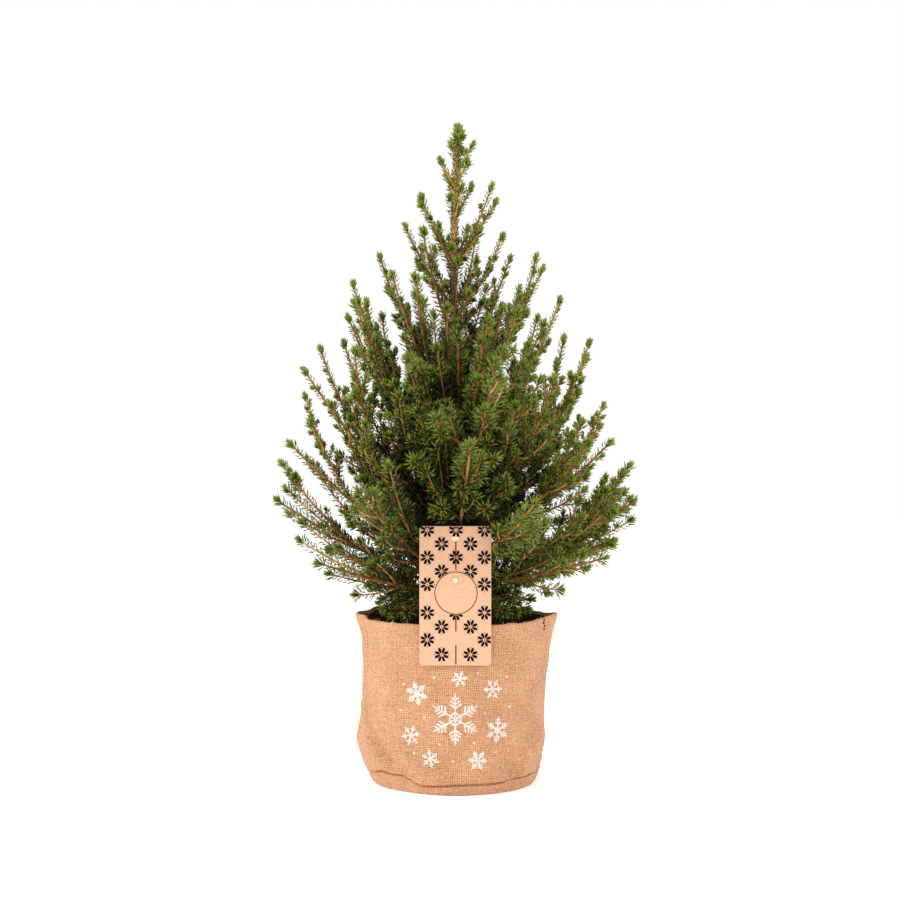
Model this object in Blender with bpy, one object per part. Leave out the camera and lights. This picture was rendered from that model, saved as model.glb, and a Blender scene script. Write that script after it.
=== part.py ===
# A young dwarf alberta spruce in a jute sack, with a card label on a small stake.
# Metres, +Z up. The origin is the middle of the sack's flat underside, and the label faces -Y.
# Bearings are degrees seen from above: 0 is +X, 90 is +Y (the back), 270 is the front.

import math

import bmesh
import bpy
from mathutils import Vector

# Space left between two pieces that touch.
GAP = 0.0003

# Sack: height, then the reach of its wall to the left, right, front and back.
SACK_PROFILE = (
    (0.000, 0.0815, 0.0795, 0.0780, 0.0780),
    (0.004, 0.0840, 0.0820, 0.0800, 0.0800),
    (0.016, 0.0895, 0.0845, 0.0830, 0.0825),
    (0.040, 0.0980, 0.0900, 0.0865, 0.0860),
    (0.068, 0.0935, 0.0890, 0.0870, 0.0865),
    (0.110, 0.0922, 0.0915, 0.0880, 0.0870),
    (0.139, 0.0908, 0.0935, 0.0885, 0.0870),
    (0.152, 0.0915, 0.0945, 0.0885, 0.0865),
    (0.162, 0.0925, 0.0945, 0.0885, 0.0860),
)
SACK_COLUMNS = 28
SACK_WALL = 0.0025
SACK_FLOOR = 0.0030
# The two side seams stand out as corners that grow towards the mouth.
CORNER_REACH = 0.0065
CORNER_RISE = 0.0045
CORNER_WIDTH = 9.0
CORNER_FOOT = 0.110

SOIL_TOP = 0.150
SOIL_LEVELS = (0.016, 0.040, 0.068, 0.110, 0.139, SOIL_TOP)

# Label card and its stake.
CARD_WIDTH = 0.0677
CARD_HEIGHT = 0.1312
CARD_TOP = 0.2562
CARD_THICKNESS = 0.0010
CARD_CORNER = 0.0036
UPPER_STUD = {"height": 0.2443, "width": 0.0084, "tall": 0.0047}
LOWER_STUD = {"height": 0.2048, "width": 0.0060, "tall": 0.0060}
STUD_SIDES = 12
STUD_PROUD = 0.0004
STAKE_WIDTH = 0.0090
STAKE_THICKNESS = 0.0016
STAKE_TOP = 0.2510
STAKE_BEND = 0.2000
STAKE_FOOT = 0.1050
STAKE_SLANT = 0.0102

# Trunk, from the soil to the foot of the leading shoot.
TRUNK_FOOT = SOIL_TOP + GAP
TRUNK_TOP = 0.5850
TRUNK_LEAN = 0.0030
TRUNK_SWAY = 0.0045
TRUNK_DEPTH_SWAY = 0.0020
TRUNK_TIP_RADIUS = 0.0014
TRUNK_SWELL = 0.0062
TRUNK_TAPER_POWER = 1.1
FLARE = 0.0040
FLARE_HEIGHT = 0.0090
FLARE_LOBES = 5
FLARE_LOBE_DEPTH = 0.15
TRUNK_SIDES = 10
TRUNK_RINGS = 12
# Over 1, so that the rings crowd towards the foot, where the flare is.
TRUNK_RING_POWER = 1.7
LEADER_TOP = 0.6540

# Tiers of limbs up the trunk: where their tips are, the bearing of the first, how many places round the
# trunk, the share of a limb that is bare bough (none where the mass starts at the trunk), and side shoots.
TIERS = (
    {"tip": 0.226, "reach": 0.150, "leave": 0.172, "first": 30, "places": 6, "bough": 0.40, "shoots": 3},
    {"tip": 0.282, "reach": 0.175, "leave": 0.184, "first": 0, "places": 6, "bough": 0.42, "shoots": 5},
    {"tip": 0.338, "reach": 0.160, "leave": 0.208, "first": 54, "places": 5, "bough": 0.42, "shoots": 5},
    {"tip": 0.398, "reach": 0.143, "leave": 0.246, "first": 18, "places": 4, "bough": 0.40, "shoots": 4},
    {"tip": 0.452, "reach": 0.112, "leave": 0.298, "first": 40, "places": 3, "bough": 0.36, "shoots": 4},
    {"tip": 0.500, "reach": 0.090, "leave": 0.358, "first": 350, "places": 3, "bough": 0.0, "shoots": 4},
    {"tip": 0.545, "reach": 0.052, "leave": 0.440, "first": 60, "places": 2, "bough": 0.0, "shoots": 3},
    {"tip": 0.583, "reach": 0.037, "leave": 0.512, "first": 340, "places": 2, "bough": 0.0, "shoots": 2},
)
LEADER_SHOOTS = 4
# The limb that would grow straight at the label is left out.
LABEL_BEARING = 270
LABEL_SECTOR = 20
LABEL_TIERS_BELOW = 0.300
SPIRAL_RISE = 0.004
BEARING_SPREAD = 7.0
REACH_SPREAD = 0.05
TIP_SPREAD = 0.008
# A limb leaves flat and then sweeps up: where its bend lies along its reach and its rise.
BEND_ALONG = 0.52
BEND_UP = 0.30
LIMB_ROOT_RADIUS = 0.0034
LIMB_TIP_RADIUS = 0.0008
LIMB_TAPER_POWER = 0.7
# How much thinner a limb at the top of the trunk is than one at its foot.
LIMB_THINNING = 0.45
LIMB_SAMPLES = 24
# Steps along a limb, as shares of it: for reading its direction, and for finding the trunk's side.
WAY_STEP = 0.01
ROOT_STEP = 0.0005
BOUGH_SIDES = 5
BOUGH_RINGS = 4

# Outline of the crown: height and reach from its axis.
CROWN_PROFILE = (
    (0.172, 0.112),
    (0.200, 0.142),
    (0.236, 0.162),
    (0.277, 0.181),
    (0.311, 0.177),
    (0.345, 0.162),
    (0.380, 0.151),
    (0.433, 0.141),
    (0.476, 0.109),
    (0.517, 0.083),
    (0.550, 0.052),
    (0.586, 0.041),
    (0.616, 0.019),
    (0.656, 0.010),
)

# Shoots: a slim three-sided core, its rings turned a little further each time, with a needle on each side.
CORE_RADIUS = 0.0013
CORE_TIP_RADIUS = 0.0006
SIDE_CORE_SHARE = 0.8
RING_STEP = 0.0100
RING_TURN = 47.0
# Any way that no shoot runs along: a shoot's first ring is turned from it.
SIDE_GUIDE = Vector((0.3, 0.2, 0.93))
NEEDLE_LENGTH = 0.0125
NEEDLE_LENGTH_RANGE = (0.80, 1.15)
NEEDLE_SPREAD = 48.0
NEEDLE_SPREAD_RANGE = (-7.0, 7.0)
# Where along a needle its room is tested.
NEEDLE_TESTS = (0.25, 0.5, 0.75, 1.0)
# Side shoots: their stretch of the stem, and their length, cut where it would leave the mass's space.
SIDE_SHOOT_STRETCH = (0.10, 0.88)
SIDE_SHOOT_LONGEST = 0.046
SIDE_SHOOT_SHORTEST = 0.014
# A side shoot's length: a share of the stem that is left beyond it, within a share of the whole limb.
SIDE_SHOOT_LEAST = 0.010
SIDE_SHOOT_SHARE = 0.55
SIDE_SHOOT_OF_LIMB = 0.36
SIDE_SHOOT_RANGE = (0.85, 1.15)
SIDE_ANGLE_ROOT = 58.0
SIDE_ANGLE_TIP = 36.0
SIDE_UPTURN = 0.45
GOLDEN_ANGLE = 137.508
# Least distance between the needles of one mass and those of the next, and to a limb.
MASS_MARGIN = 0.0012
LIMB_MARGIN = 0.0010
RIM_CLEARANCE = 0.0050
CARD_CLEARANCE = 0.0045


def clear_scene():
    for thing in list(bpy.data.objects):
        bpy.data.objects.remove(thing)


def chance(*keys):
    # A steady number between 0 and 1 for each set of keys.
    weights = (12.9898, 78.233, 37.719, 4.581)
    mix = sum(key * weight for key, weight in zip(keys, weights))
    return math.modf(abs(math.sin(mix)) * 43758.5453)[0]


def between(pair, share):
    return pair[0] + (pair[1] - pair[0]) * share


def read_profile(profile, height, column):
    # Straight line between the two rows that the height lies between.
    if height <= profile[0][0]:
        return profile[0][column]
    for low, high in zip(profile, profile[1:]):
        if height <= high[0]:
            share = (height - low[0]) / (high[0] - low[0])
            return low[column] + share * (high[column] - low[column])
    return profile[-1][column]


def make_material(name, color, roughness):
    material = bpy.data.materials.new(name)
    material.use_nodes = True
    shader = material.node_tree.nodes["Principled BSDF"]
    shader.inputs["Base Color"].default_value = (*color, 1.0)
    shader.inputs["Roughness"].default_value = roughness
    shader.inputs["Metallic"].default_value = 0.0
    return material


def add_object(name, bm, material):
    bmesh.ops.recalc_face_normals(bm, faces=bm.faces)
    mesh = bpy.data.meshes.new(name)
    bm.to_mesh(mesh)
    bm.free()
    mesh.materials.append(material)
    made = bpy.data.objects.new(name, mesh)
    bpy.context.scene.collection.objects.link(made)
    return made


def bridge_rings(bm, rings):
    # Side faces between rings of the same count, and a flat face at each end.
    loops = [[bm.verts.new(point) for point in ring] for ring in rings]
    for lower, upper in zip(loops, loops[1:]):
        count = len(lower)
        for place in range(count):
            after = (place + 1) % count
            bm.faces.new((lower[place], lower[after], upper[after], upper[place]))
    bm.faces.new(list(reversed(loops[0])))
    bm.faces.new(loops[-1])


def cut_hole(target, cutter):
    cutter.hide_render = True
    cutter.display_type = "WIRE"
    cut = target.modifiers.new("cut", "BOOLEAN")
    cut.operation = "DIFFERENCE"
    cut.object = cutter


# Sack and soil


def sack_point(bearing, height, inset):
    # An oval whose four reaches come from the profile, with the seam corners added at left and right.
    angle = math.radians(bearing)
    side = 2 if math.cos(angle) >= 0 else 1
    face = 4 if math.sin(angle) >= 0 else 3
    across = read_profile(SACK_PROFILE, height, side)
    along = read_profile(SACK_PROFILE, height, face)
    oval = 1 / math.hypot(math.cos(angle) / across, math.sin(angle) / along)
    off_seam = min(abs((bearing + 90) % 180 - 90), 90)
    mouth = SACK_PROFILE[-1][0]
    growth = max(0.0, (height - CORNER_FOOT) / (mouth - CORNER_FOOT))
    corner = math.exp(-(off_seam / CORNER_WIDTH) ** 2) * growth
    reach = oval + CORNER_REACH * corner - inset
    lift = CORNER_RISE * corner if height >= mouth else 0.0
    return Vector((reach * math.cos(angle), reach * math.sin(angle), height + lift))


def sack_ring(height, inset, columns):
    return [sack_point(360 * column / columns, height, inset) for column in range(columns)]


def make_sack(material):
    levels = [row[0] for row in SACK_PROFILE]
    outer = [sack_ring(level, 0.0, SACK_COLUMNS) for level in levels]
    inner_levels = [SACK_FLOOR] + [level for level in levels if level > 2 * SACK_FLOOR]
    inner = [sack_ring(level, SACK_WALL, SACK_COLUMNS) for level in reversed(inner_levels)]
    bm = bmesh.new()
    bridge_rings(bm, outer + inner)
    return add_object("sack", bm, material)


def make_soil(material):
    rings = []
    for level in (SACK_FLOOR + GAP, *SOIL_LEVELS):
        rings.append(sack_ring(level, SACK_WALL + 2 * GAP, SACK_COLUMNS // 2))
    bm = bmesh.new()
    bridge_rings(bm, rings)
    soil = add_object("soil", bm, material)
    slot = stake_body("stake_slot", GAP, material)
    cut_hole(soil, slot)
    return soil


# Label


def oval_ring(middle_height, width, tall, y):
    ring = []
    for place in range(STUD_SIDES):
        angle = 2 * math.pi * place / STUD_SIDES
        ring.append(Vector((width / 2 * math.cos(angle), y, middle_height + tall / 2 * math.sin(angle))))
    return ring


def card_back():
    return -read_profile(SACK_PROFILE, SACK_PROFILE[-1][0], 3) - GAP


def card_outline(y):
    # A rectangle with a quarter arc at each corner.
    points = []
    half = CARD_WIDTH / 2 - CARD_CORNER
    corners = (
        (half, CARD_TOP - CARD_CORNER, 0),
        (-half, CARD_TOP - CARD_CORNER, 90),
        (-half, CARD_TOP - CARD_HEIGHT + CARD_CORNER, 180),
        (half, CARD_TOP - CARD_HEIGHT + CARD_CORNER, 270),
    )
    arc_steps = 4
    for x, z, start in corners:
        for step in range(arc_steps + 1):
            angle = math.radians(start + 90 * step / arc_steps)
            points.append(Vector((x + CARD_CORNER * math.cos(angle), y, z + CARD_CORNER * math.sin(angle))))
    return points


def make_card(material):
    back = card_back()
    bm = bmesh.new()
    bridge_rings(bm, [card_outline(back), card_outline(back - CARD_THICKNESS)])
    card = add_object("label_card", bm, material)
    for number, stud in enumerate((UPPER_STUD, LOWER_STUD)):
        bm = bmesh.new()
        rings = []
        for y in (back + CARD_THICKNESS, back - 2 * CARD_THICKNESS):
            rings.append(oval_ring(stud["height"], stud["width"] + 2 * GAP, stud["tall"] + 2 * GAP, y))
        bridge_rings(bm, rings)
        cut_hole(card, add_object(f"stud_hole_{number}", bm, material))
    return card


def stake_body(name, grow, material):
    # A flat strip, upright behind the card and bent inwards below it, so that it enters the soil.
    front = card_back() + GAP
    back = front + STAKE_THICKNESS
    side = [
        (front - grow, STAKE_TOP + grow),
        (front - grow, STAKE_BEND),
        (front + STAKE_SLANT - grow, STAKE_FOOT - grow),
        (back + STAKE_SLANT + grow, STAKE_FOOT - grow),
        (back + grow, STAKE_BEND),
        (back + grow, STAKE_TOP + grow),
    ]
    half = STAKE_WIDTH / 2 + grow
    bm = bmesh.new()
    bridge_rings(bm, [[Vector((x, y, z)) for y, z in side] for x in (-half, half)])
    return add_object(name, bm, material)


def make_stake(material):
    stake = stake_body("label_stake", 0.0, material)
    inside = card_back() + GAP + STAKE_THICKNESS / 2
    outside = card_back() - CARD_THICKNESS - STUD_PROUD
    for number, stud in enumerate((UPPER_STUD, LOWER_STUD)):
        bm = bmesh.new()
        ends = [oval_ring(stud["height"], stud["width"], stud["tall"], y) for y in (inside, outside)]
        bridge_rings(bm, ends)
        peg = add_object(f"stud_{number}", bm, material)
        peg.hide_render = True
        peg.display_type = "WIRE"
        join = stake.modifiers.new("join", "BOOLEAN")
        join.operation = "UNION"
        join.object = peg
    return stake


# Trunk and limbs


def trunk_axis(height):
    share = (height - TRUNK_FOOT) / (LEADER_TOP - TRUNK_FOOT)
    x = TRUNK_LEAN * share - TRUNK_SWAY * math.sin(math.pi * share)
    y = -TRUNK_DEPTH_SWAY * math.sin(math.pi * share)
    return Vector((x, y, height))


def trunk_radius(height, bearing=0.0):
    # Taper to the tip, with a flare at the foot that is wider on its root lobes.
    share = min(max((height - TRUNK_FOOT) / (TRUNK_TOP - TRUNK_FOOT), 0.0), 1.0)
    taper = TRUNK_TIP_RADIUS + TRUNK_SWELL * (1 - share) ** TRUNK_TAPER_POWER
    lobe = 1 - FLARE_LOBE_DEPTH * (1 - math.cos(FLARE_LOBES * math.radians(bearing)))
    return taper + FLARE * lobe * math.exp(-(height - TRUNK_FOOT) / FLARE_HEIGHT)


def make_trunk(material):
    rings = []
    for number in range(TRUNK_RINGS + 1):
        share = (number / TRUNK_RINGS) ** TRUNK_RING_POWER
        height = TRUNK_FOOT + share * (TRUNK_TOP - TRUNK_FOOT)
        middle = trunk_axis(height)
        ring = []
        for side in range(TRUNK_SIDES):
            bearing = 360 * side / TRUNK_SIDES
            angle = math.radians(bearing)
            out = Vector((math.cos(angle), math.sin(angle), 0.0))
            ring.append(middle + out * trunk_radius(height, bearing))
        rings.append(ring)
    bm = bmesh.new()
    bridge_rings(bm, rings)
    return add_object("trunk", bm, material)


def plan_limb(tier, number, place):
    # The route of one limb: a curve with one bend, from the trunk's side to its furthest tip.
    bearing = tier["first"] + 360 * place / tier["places"] + BEARING_SPREAD * (2 * chance(number, 1) - 1)
    reach = tier["reach"] * (1 + REACH_SPREAD * (2 * chance(number, 2) - 1))
    tip_height = tier["tip"] + TIP_SPREAD * (2 * chance(number, 3) - 1)
    leave_height = tier["leave"] + SPIRAL_RISE * place
    angle = math.radians(bearing)
    out = Vector((math.cos(angle), math.sin(angle), 0.0))
    start = trunk_axis(leave_height)
    rise = tip_height - leave_height
    bend = start + out * (reach * BEND_ALONG) + Vector((0, 0, rise * BEND_UP))
    tip = out * reach + Vector((0, 0, tip_height))
    thin = 1 - LIMB_THINNING * (leave_height - TRUNK_FOOT) / (TRUNK_TOP - TRUNK_FOOT)
    limb = {"start": start, "bend": bend, "tip": tip, "out": out}
    limb.update(bough=tier["bough"], shoots=tier["shoots"], thin=thin)
    return limb


def plan_limbs():
    limbs = []
    for tier in TIERS:
        for place in range(tier["places"]):
            bearing = tier["first"] + 360 * place / tier["places"]
            off_label = abs((bearing - LABEL_BEARING + 180) % 360 - 180)
            if off_label >= LABEL_SECTOR or tier["tip"] > LABEL_TIERS_BELOW:
                limbs.append(plan_limb(tier, len(limbs), place))
    top = trunk_axis(LEADER_TOP)
    foot = trunk_axis(TRUNK_TOP)
    middle = (foot + top) / 2
    leader = {"start": foot, "bend": middle, "tip": top, "out": Vector((0, 0, 1))}
    leader.update(bough=0.0, shoots=LEADER_SHOOTS, thin=1 - LIMB_THINNING)
    limbs.append(leader)
    return limbs


def limb_point(limb, share):
    # Quadratic curve through the limb's three route points.
    near = limb["start"].lerp(limb["bend"], share)
    far = limb["bend"].lerp(limb["tip"], share)
    return near.lerp(far, share)


def limb_way(limb, share):
    ahead = limb_point(limb, min(share + WAY_STEP, 1.0))
    behind = limb_point(limb, max(share - WAY_STEP, 0.0))
    return (ahead - behind).normalized()


def limb_radius(limb, share):
    return limb["thin"] * between((LIMB_ROOT_RADIUS, LIMB_TIP_RADIUS), share ** LIMB_TAPER_POWER)


def is_leader(limb):
    return limb["out"].z > 0.5


def limb_root_share(limb):
    # Where the limb comes out of the trunk, its end face just clear of the bark.
    if is_leader(limb):
        return 0.0
    clear = trunk_radius(limb["start"].z - LIMB_ROOT_RADIUS) + GAP
    share = 0.0
    while (limb_point(limb, share) - limb["start"]).dot(limb["out"]) < clear:
        share += ROOT_STEP
    return share


def ring_round(middle, way, side_way, radius, sides, turn):
    across = (side_way - way * side_way.dot(way)).normalized()
    upward = way.cross(across)
    ring = []
    for side in range(sides):
        angle = math.radians(turn) + 2 * math.pi * side / sides
        ring.append(middle + (across * math.cos(angle) + upward * math.sin(angle)) * radius)
    return ring


def make_bough(limb, name, material):
    root = limb_root_share(limb)
    sideways = Vector((0, 0, 1)).cross(limb["out"])
    rings = []
    for number in range(BOUGH_RINGS + 1):
        share = between((root, limb["bough"]), number / BOUGH_RINGS)
        # The first ring stands upright, parallel to the trunk's side.
        way = limb["out"] if number == 0 else limb_way(limb, share)
        middle = limb_point(limb, share)
        rings.append(ring_round(middle, way, sideways, limb_radius(limb, share), BOUGH_SIDES, 0))
    bm = bmesh.new()
    bridge_rings(bm, rings)
    return add_object(name, bm, material)


# Foliage


def stem_span(limb):
    # The stretch of a limb that its mass takes: from the bough's tip, or from the trunk, to the end.
    if is_leader(limb):
        return GAP / (LEADER_TOP - TRUNK_TOP), 1.0
    if limb["bough"] > 0:
        length = sum((b - a).length for a, b in steps_along(limb, 0.0, 1.0))
        return limb["bough"] + GAP / length, 1.0
    return limb_root_share(limb), 1.0


def steps_along(limb, first, last):
    points = []
    for number in range(LIMB_SAMPLES + 1):
        points.append(limb_point(limb, first + (last - first) * number / LIMB_SAMPLES))
    return list(zip(points, points[1:]))


def distance_to_line(point, a, b):
    along = b - a
    share = (point - a).dot(along) / along.length_squared
    return (point - a - along * min(max(share, 0.0), 1.0)).length


def distance_to_steps(point, steps):
    return min(distance_to_line(point, a, b) for a, b in steps)


def make_space(limbs):
    # What a point of a mass is tested against: every stem, every bough, and the things that stand near.
    stems = [steps_along(limb, *stem_span(limb)) for limb in limbs]
    boughs = []
    for limb in limbs:
        if limb["bough"] > 0:
            boughs.append((steps_along(limb, limb_root_share(limb), limb["bough"]), limb_radius(limb, 0.0)))
    return {"stems": stems, "boughs": boughs}


def near_label(point):
    beside = abs(point.x) < CARD_WIDTH / 2 + CARD_CLEARANCE
    behind = card_back() + GAP + STAKE_THICKNESS + STAKE_SLANT + CARD_CLEARANCE
    ahead = card_back() - CARD_THICKNESS - CARD_CLEARANCE
    return beside and ahead < point.y < behind and point.z < CARD_TOP + CARD_CLEARANCE


def in_space(point, own, space):
    lowest = SACK_PROFILE[-1][0] + CORNER_RISE + RIM_CLEARANCE
    if point.z < lowest or near_label(point):
        return False
    if math.hypot(point.x, point.y) > read_profile(CROWN_PROFILE, point.z, 1):
        return False
    if point.z < TRUNK_TOP:
        off_axis = (point - trunk_axis(point.z)).length
        if off_axis < trunk_radius(point.z) + LIMB_MARGIN:
            return False
    own_distance = distance_to_steps(point, space["stems"][own])
    for number, stem in enumerate(space["stems"]):
        if number != own and distance_to_steps(point, stem) < own_distance + 2 * MASS_MARGIN:
            return False
    for steps, radius in space["boughs"]:
        if distance_to_steps(point, steps) < radius + LIMB_MARGIN:
            return False
    return True


def add_shoot(bm, route, root_way, root_radius, keys, own, space, bare_rings):
    # Three-sided core along the route. Each side face becomes a pyramid whose point is a needle's tip.
    rings = []
    count = len(route)
    side_way = SIDE_GUIDE.cross(root_way)
    for number, middle in enumerate(route[:-1]):
        way = (route[number + 1] - route[number - 1]).normalized() if number else root_way
        radius = root_radius + (CORE_TIP_RADIUS - root_radius) * number / (count - 1)
        rings.append(ring_round(middle, way, side_way, radius, 3, RING_TURN * number))
    loops = [[bm.verts.new(point) for point in ring] for ring in rings]
    for number in range(len(loops) - 1):
        way = (route[number + 1] - route[number]).normalized()
        middle = (route[number] + route[number + 1]) / 2
        for side in range(3):
            after = (side + 1) % 3
            lower, upper = loops[number], loops[number + 1]
            corners = (lower[side], lower[after], upper[after], upper[side])
            base = sum((corner.co for corner in corners), Vector()) / 4
            out = base - middle
            out = (out - way * out.dot(way)).normalized()
            needle_number = number * 3 + side
            length = NEEDLE_LENGTH * between(NEEDLE_LENGTH_RANGE, chance(*keys, needle_number))
            spread = NEEDLE_SPREAD + between(NEEDLE_SPREAD_RANGE, chance(*keys, needle_number, 5))
            lean = math.radians(spread)
            point = base + (out * math.sin(lean) + way * math.cos(lean)) * length
            free = all(in_space(base.lerp(point, share), own, space) for share in NEEDLE_TESTS)
            if number >= bare_rings and free:
                needle = bm.verts.new(point)
                for start in range(4):
                    bm.faces.new((corners[start], corners[(start + 1) % 4], needle))
            else:
                bm.faces.new((corners[0], corners[1], corners[2]))
                bm.faces.new((corners[0], corners[2], corners[3]))
    bud = bm.verts.new(route[-1])
    for side in range(3):
        bm.faces.new((loops[-1][side], loops[-1][(side + 1) % 3], bud))
    bm.faces.new(list(reversed(loops[0])))


def side_route(limb, place, number, span):
    # A side shoot leaves its stem at a golden-angle turn and bends up, shorter towards the stem's tip.
    order = place / (limb["shoots"] - 1)
    share = between(span, between(SIDE_SHOOT_STRETCH, order))
    root = limb_point(limb, share)
    way = limb_way(limb, share)
    turn = math.radians(GOLDEN_ANGLE * place + 360 * chance(number, place, 7))
    across = Vector((0, 0, 1)).cross(way)
    if across.length < 0.1:
        across = Vector((0, 1, 0)).cross(way)
    across.normalize()
    out = across * math.cos(turn) + way.cross(across) * math.sin(turn)
    angle = math.radians(between((SIDE_ANGLE_ROOT, SIDE_ANGLE_TIP), order))
    heading = way * math.cos(angle) + out * math.sin(angle)
    left = (limb["tip"] - root).length
    whole = (limb["tip"] - limb["start"]).length
    length = min(SIDE_SHOOT_LONGEST, SIDE_SHOOT_LEAST + SIDE_SHOOT_SHARE * left, SIDE_SHOOT_OF_LIMB * whole)
    length *= between(SIDE_SHOOT_RANGE, chance(number, place, 8))
    steps = max(2, round(length / RING_STEP))
    route = [root.copy()]
    point = root.copy()
    for step in range(steps):
        bent = (heading + Vector((0, 0, SIDE_UPTURN * (step + 1) / steps))).normalized()
        point = point + bent * (length / steps)
        route.append(point.copy())
    return route


def kept_route(route, own, space):
    # The part of a route that stays in the mass's own space.
    kept = route[:1]
    for point in route[1:]:
        if not in_space(point, own, space):
            break
        kept.append(point)
    return kept


def stem_route(limb, span):
    first, last = span
    length = sum((b - a).length for a, b in steps_along(limb, first, last))
    count = max(3, round(length / RING_STEP))
    return [limb_point(limb, first + (last - first) * number / count) for number in range(count + 1)]


def largest_body(mesh):
    # Drops loose scraps and sealed hollows that the union leaves.
    bm = bmesh.new()
    bm.from_mesh(mesh)
    left = set(bm.verts)
    groups = []
    while left:
        group = set()
        edge_front = [left.pop()]
        while edge_front:
            vert = edge_front.pop()
            group.add(vert)
            for edge in vert.link_edges:
                other = edge.other_vert(vert)
                if other in left:
                    left.remove(other)
                    edge_front.append(other)
        groups.append(group)
    keep = max(groups, key=len)
    bmesh.ops.delete(bm, geom=[vert for vert in bm.verts if vert not in keep], context="VERTS")
    bmesh.ops.triangulate(bm, faces=bm.faces)
    bm.to_mesh(mesh)
    bm.free()


def fuse(name, shoots, material):
    # One union on a collection joins the side shoots to the stem.
    stem, side_shoots = shoots[0], shoots[1:]
    group = bpy.data.collections.new(f"{name}_shoots")
    bpy.context.scene.collection.children.link(group)
    for shoot in side_shoots:
        bpy.context.scene.collection.objects.unlink(shoot)
        group.objects.link(shoot)
    if side_shoots:
        join = stem.modifiers.new("join", "BOOLEAN")
        join.operation = "UNION"
        join.operand_type = "COLLECTION"
        join.collection = group
        join.solver = "MANIFOLD"
    ready = bpy.context.evaluated_depsgraph_get()
    mesh = bpy.data.meshes.new_from_object(stem.evaluated_get(ready), depsgraph=ready)
    mesh.name = name
    for shoot in shoots:
        bpy.data.objects.remove(shoot)
    bpy.data.collections.remove(group)
    largest_body(mesh)
    mesh.materials.clear()
    mesh.materials.append(material)
    mass = bpy.data.objects.new(name, mesh)
    bpy.context.scene.collection.objects.link(mass)
    return mass


def make_mass(limb, number, name, space, material):
    span = stem_span(limb)
    # A stem that starts at the trunk has an upright root face, parallel to the trunk's side.
    root_way = limb_way(limb, span[0]) if limb["bough"] > 0 else limb["out"]
    bm = bmesh.new()
    add_shoot(bm, stem_route(limb, span), root_way, CORE_RADIUS, (number, 20), number, space, 1)
    shoots = [add_object(f"{name}_stem", bm, material)]
    for place in range(limb["shoots"]):
        route = kept_route(side_route(limb, place, number, span), number, space)
        length = sum((b - a).length for a, b in zip(route, route[1:]))
        if length >= SIDE_SHOOT_SHORTEST:
            bm = bmesh.new()
            root_way = (route[1] - route[0]).normalized()
            add_shoot(bm, route, root_way, CORE_RADIUS * SIDE_CORE_SHARE, (number, place), number, space, 0)
            shoots.append(add_object(f"{name}_side_{place}", bm, material))
    return fuse(name, shoots, material)


def main():
    clear_scene()
    jute = make_material("jute", (0.72, 0.43, 0.27), 0.95)
    peat = make_material("peat", (0.02, 0.012, 0.006), 1.0)
    kraft = make_material("kraft_card", (0.88, 0.56, 0.35), 0.8)
    cream = make_material("cream_stake", (0.85, 0.78, 0.66), 0.6)
    bark = make_material("bark", (0.38, 0.17, 0.06), 0.85)
    needles = make_material("needles", (0.10, 0.20, 0.04), 0.6)
    make_sack(jute)
    make_soil(peat)
    make_card(kraft)
    make_stake(cream)
    make_trunk(bark)
    limbs = plan_limbs()
    space = make_space(limbs)
    for number, limb in enumerate(limbs):
        if limb["bough"] > 0:
            make_bough(limb, f"bough_{number:02d}", bark)
        mass_name = "foliage_leader" if number == len(limbs) - 1 else f"foliage_{number:02d}"
        make_mass(limb, number, mass_name, space, needles)


main()
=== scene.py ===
# A young dwarf alberta spruce in a jute sack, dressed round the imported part.
# Metres, +Z up, the label faces -Y. Bearings are seen from above: 0 is +X, 90 the back, 270 the front.

import math

import bpy
import numpy as np
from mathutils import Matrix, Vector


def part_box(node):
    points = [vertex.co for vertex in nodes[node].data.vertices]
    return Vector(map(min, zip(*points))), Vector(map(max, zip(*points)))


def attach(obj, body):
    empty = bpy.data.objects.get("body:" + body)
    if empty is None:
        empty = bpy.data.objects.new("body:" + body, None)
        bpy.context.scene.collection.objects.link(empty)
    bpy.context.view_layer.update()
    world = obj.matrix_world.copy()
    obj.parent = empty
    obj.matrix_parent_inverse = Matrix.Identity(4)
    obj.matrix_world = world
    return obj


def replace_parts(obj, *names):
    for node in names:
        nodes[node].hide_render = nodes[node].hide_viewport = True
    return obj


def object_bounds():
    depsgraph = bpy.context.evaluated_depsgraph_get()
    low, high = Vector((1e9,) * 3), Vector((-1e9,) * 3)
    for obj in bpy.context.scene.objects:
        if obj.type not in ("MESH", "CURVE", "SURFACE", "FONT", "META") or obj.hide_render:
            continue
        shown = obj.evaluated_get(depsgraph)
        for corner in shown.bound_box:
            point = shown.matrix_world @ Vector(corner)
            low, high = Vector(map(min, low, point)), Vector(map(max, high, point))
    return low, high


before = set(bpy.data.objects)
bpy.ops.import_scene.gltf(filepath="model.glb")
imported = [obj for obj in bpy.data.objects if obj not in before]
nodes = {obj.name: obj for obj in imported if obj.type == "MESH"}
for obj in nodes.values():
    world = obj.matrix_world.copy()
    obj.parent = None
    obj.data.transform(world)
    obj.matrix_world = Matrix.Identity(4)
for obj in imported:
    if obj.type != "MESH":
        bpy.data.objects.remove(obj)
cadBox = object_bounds()
print("frame loaded,", len(nodes), "nodes")

upward = np.array((0.0, 0.0, 1.0))
goldenAngle = 137.508


# Small tools for arrays and meshes


def chance(*keys):
    # a steady number from 0 to 1: the fraction of |sin(keys . weights)| * 43758.5453, as in the part's source
    weights = (12.9898, 78.233, 37.719, 4.581)
    mix = sum(np.asarray(key, float) * weight for key, weight in zip(keys, weights))
    return np.abs(np.sin(mix)) * 43758.5453 % 1.0


def between(low, high, share):
    # low at share 0, high at share 1, evenly in between
    return low + (high - low) * share


def spot(*parts):
    # points or pairs from their coordinates, given as arrays that broadcast together
    return np.stack(np.broadcast_arrays(*parts), -1)


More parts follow.
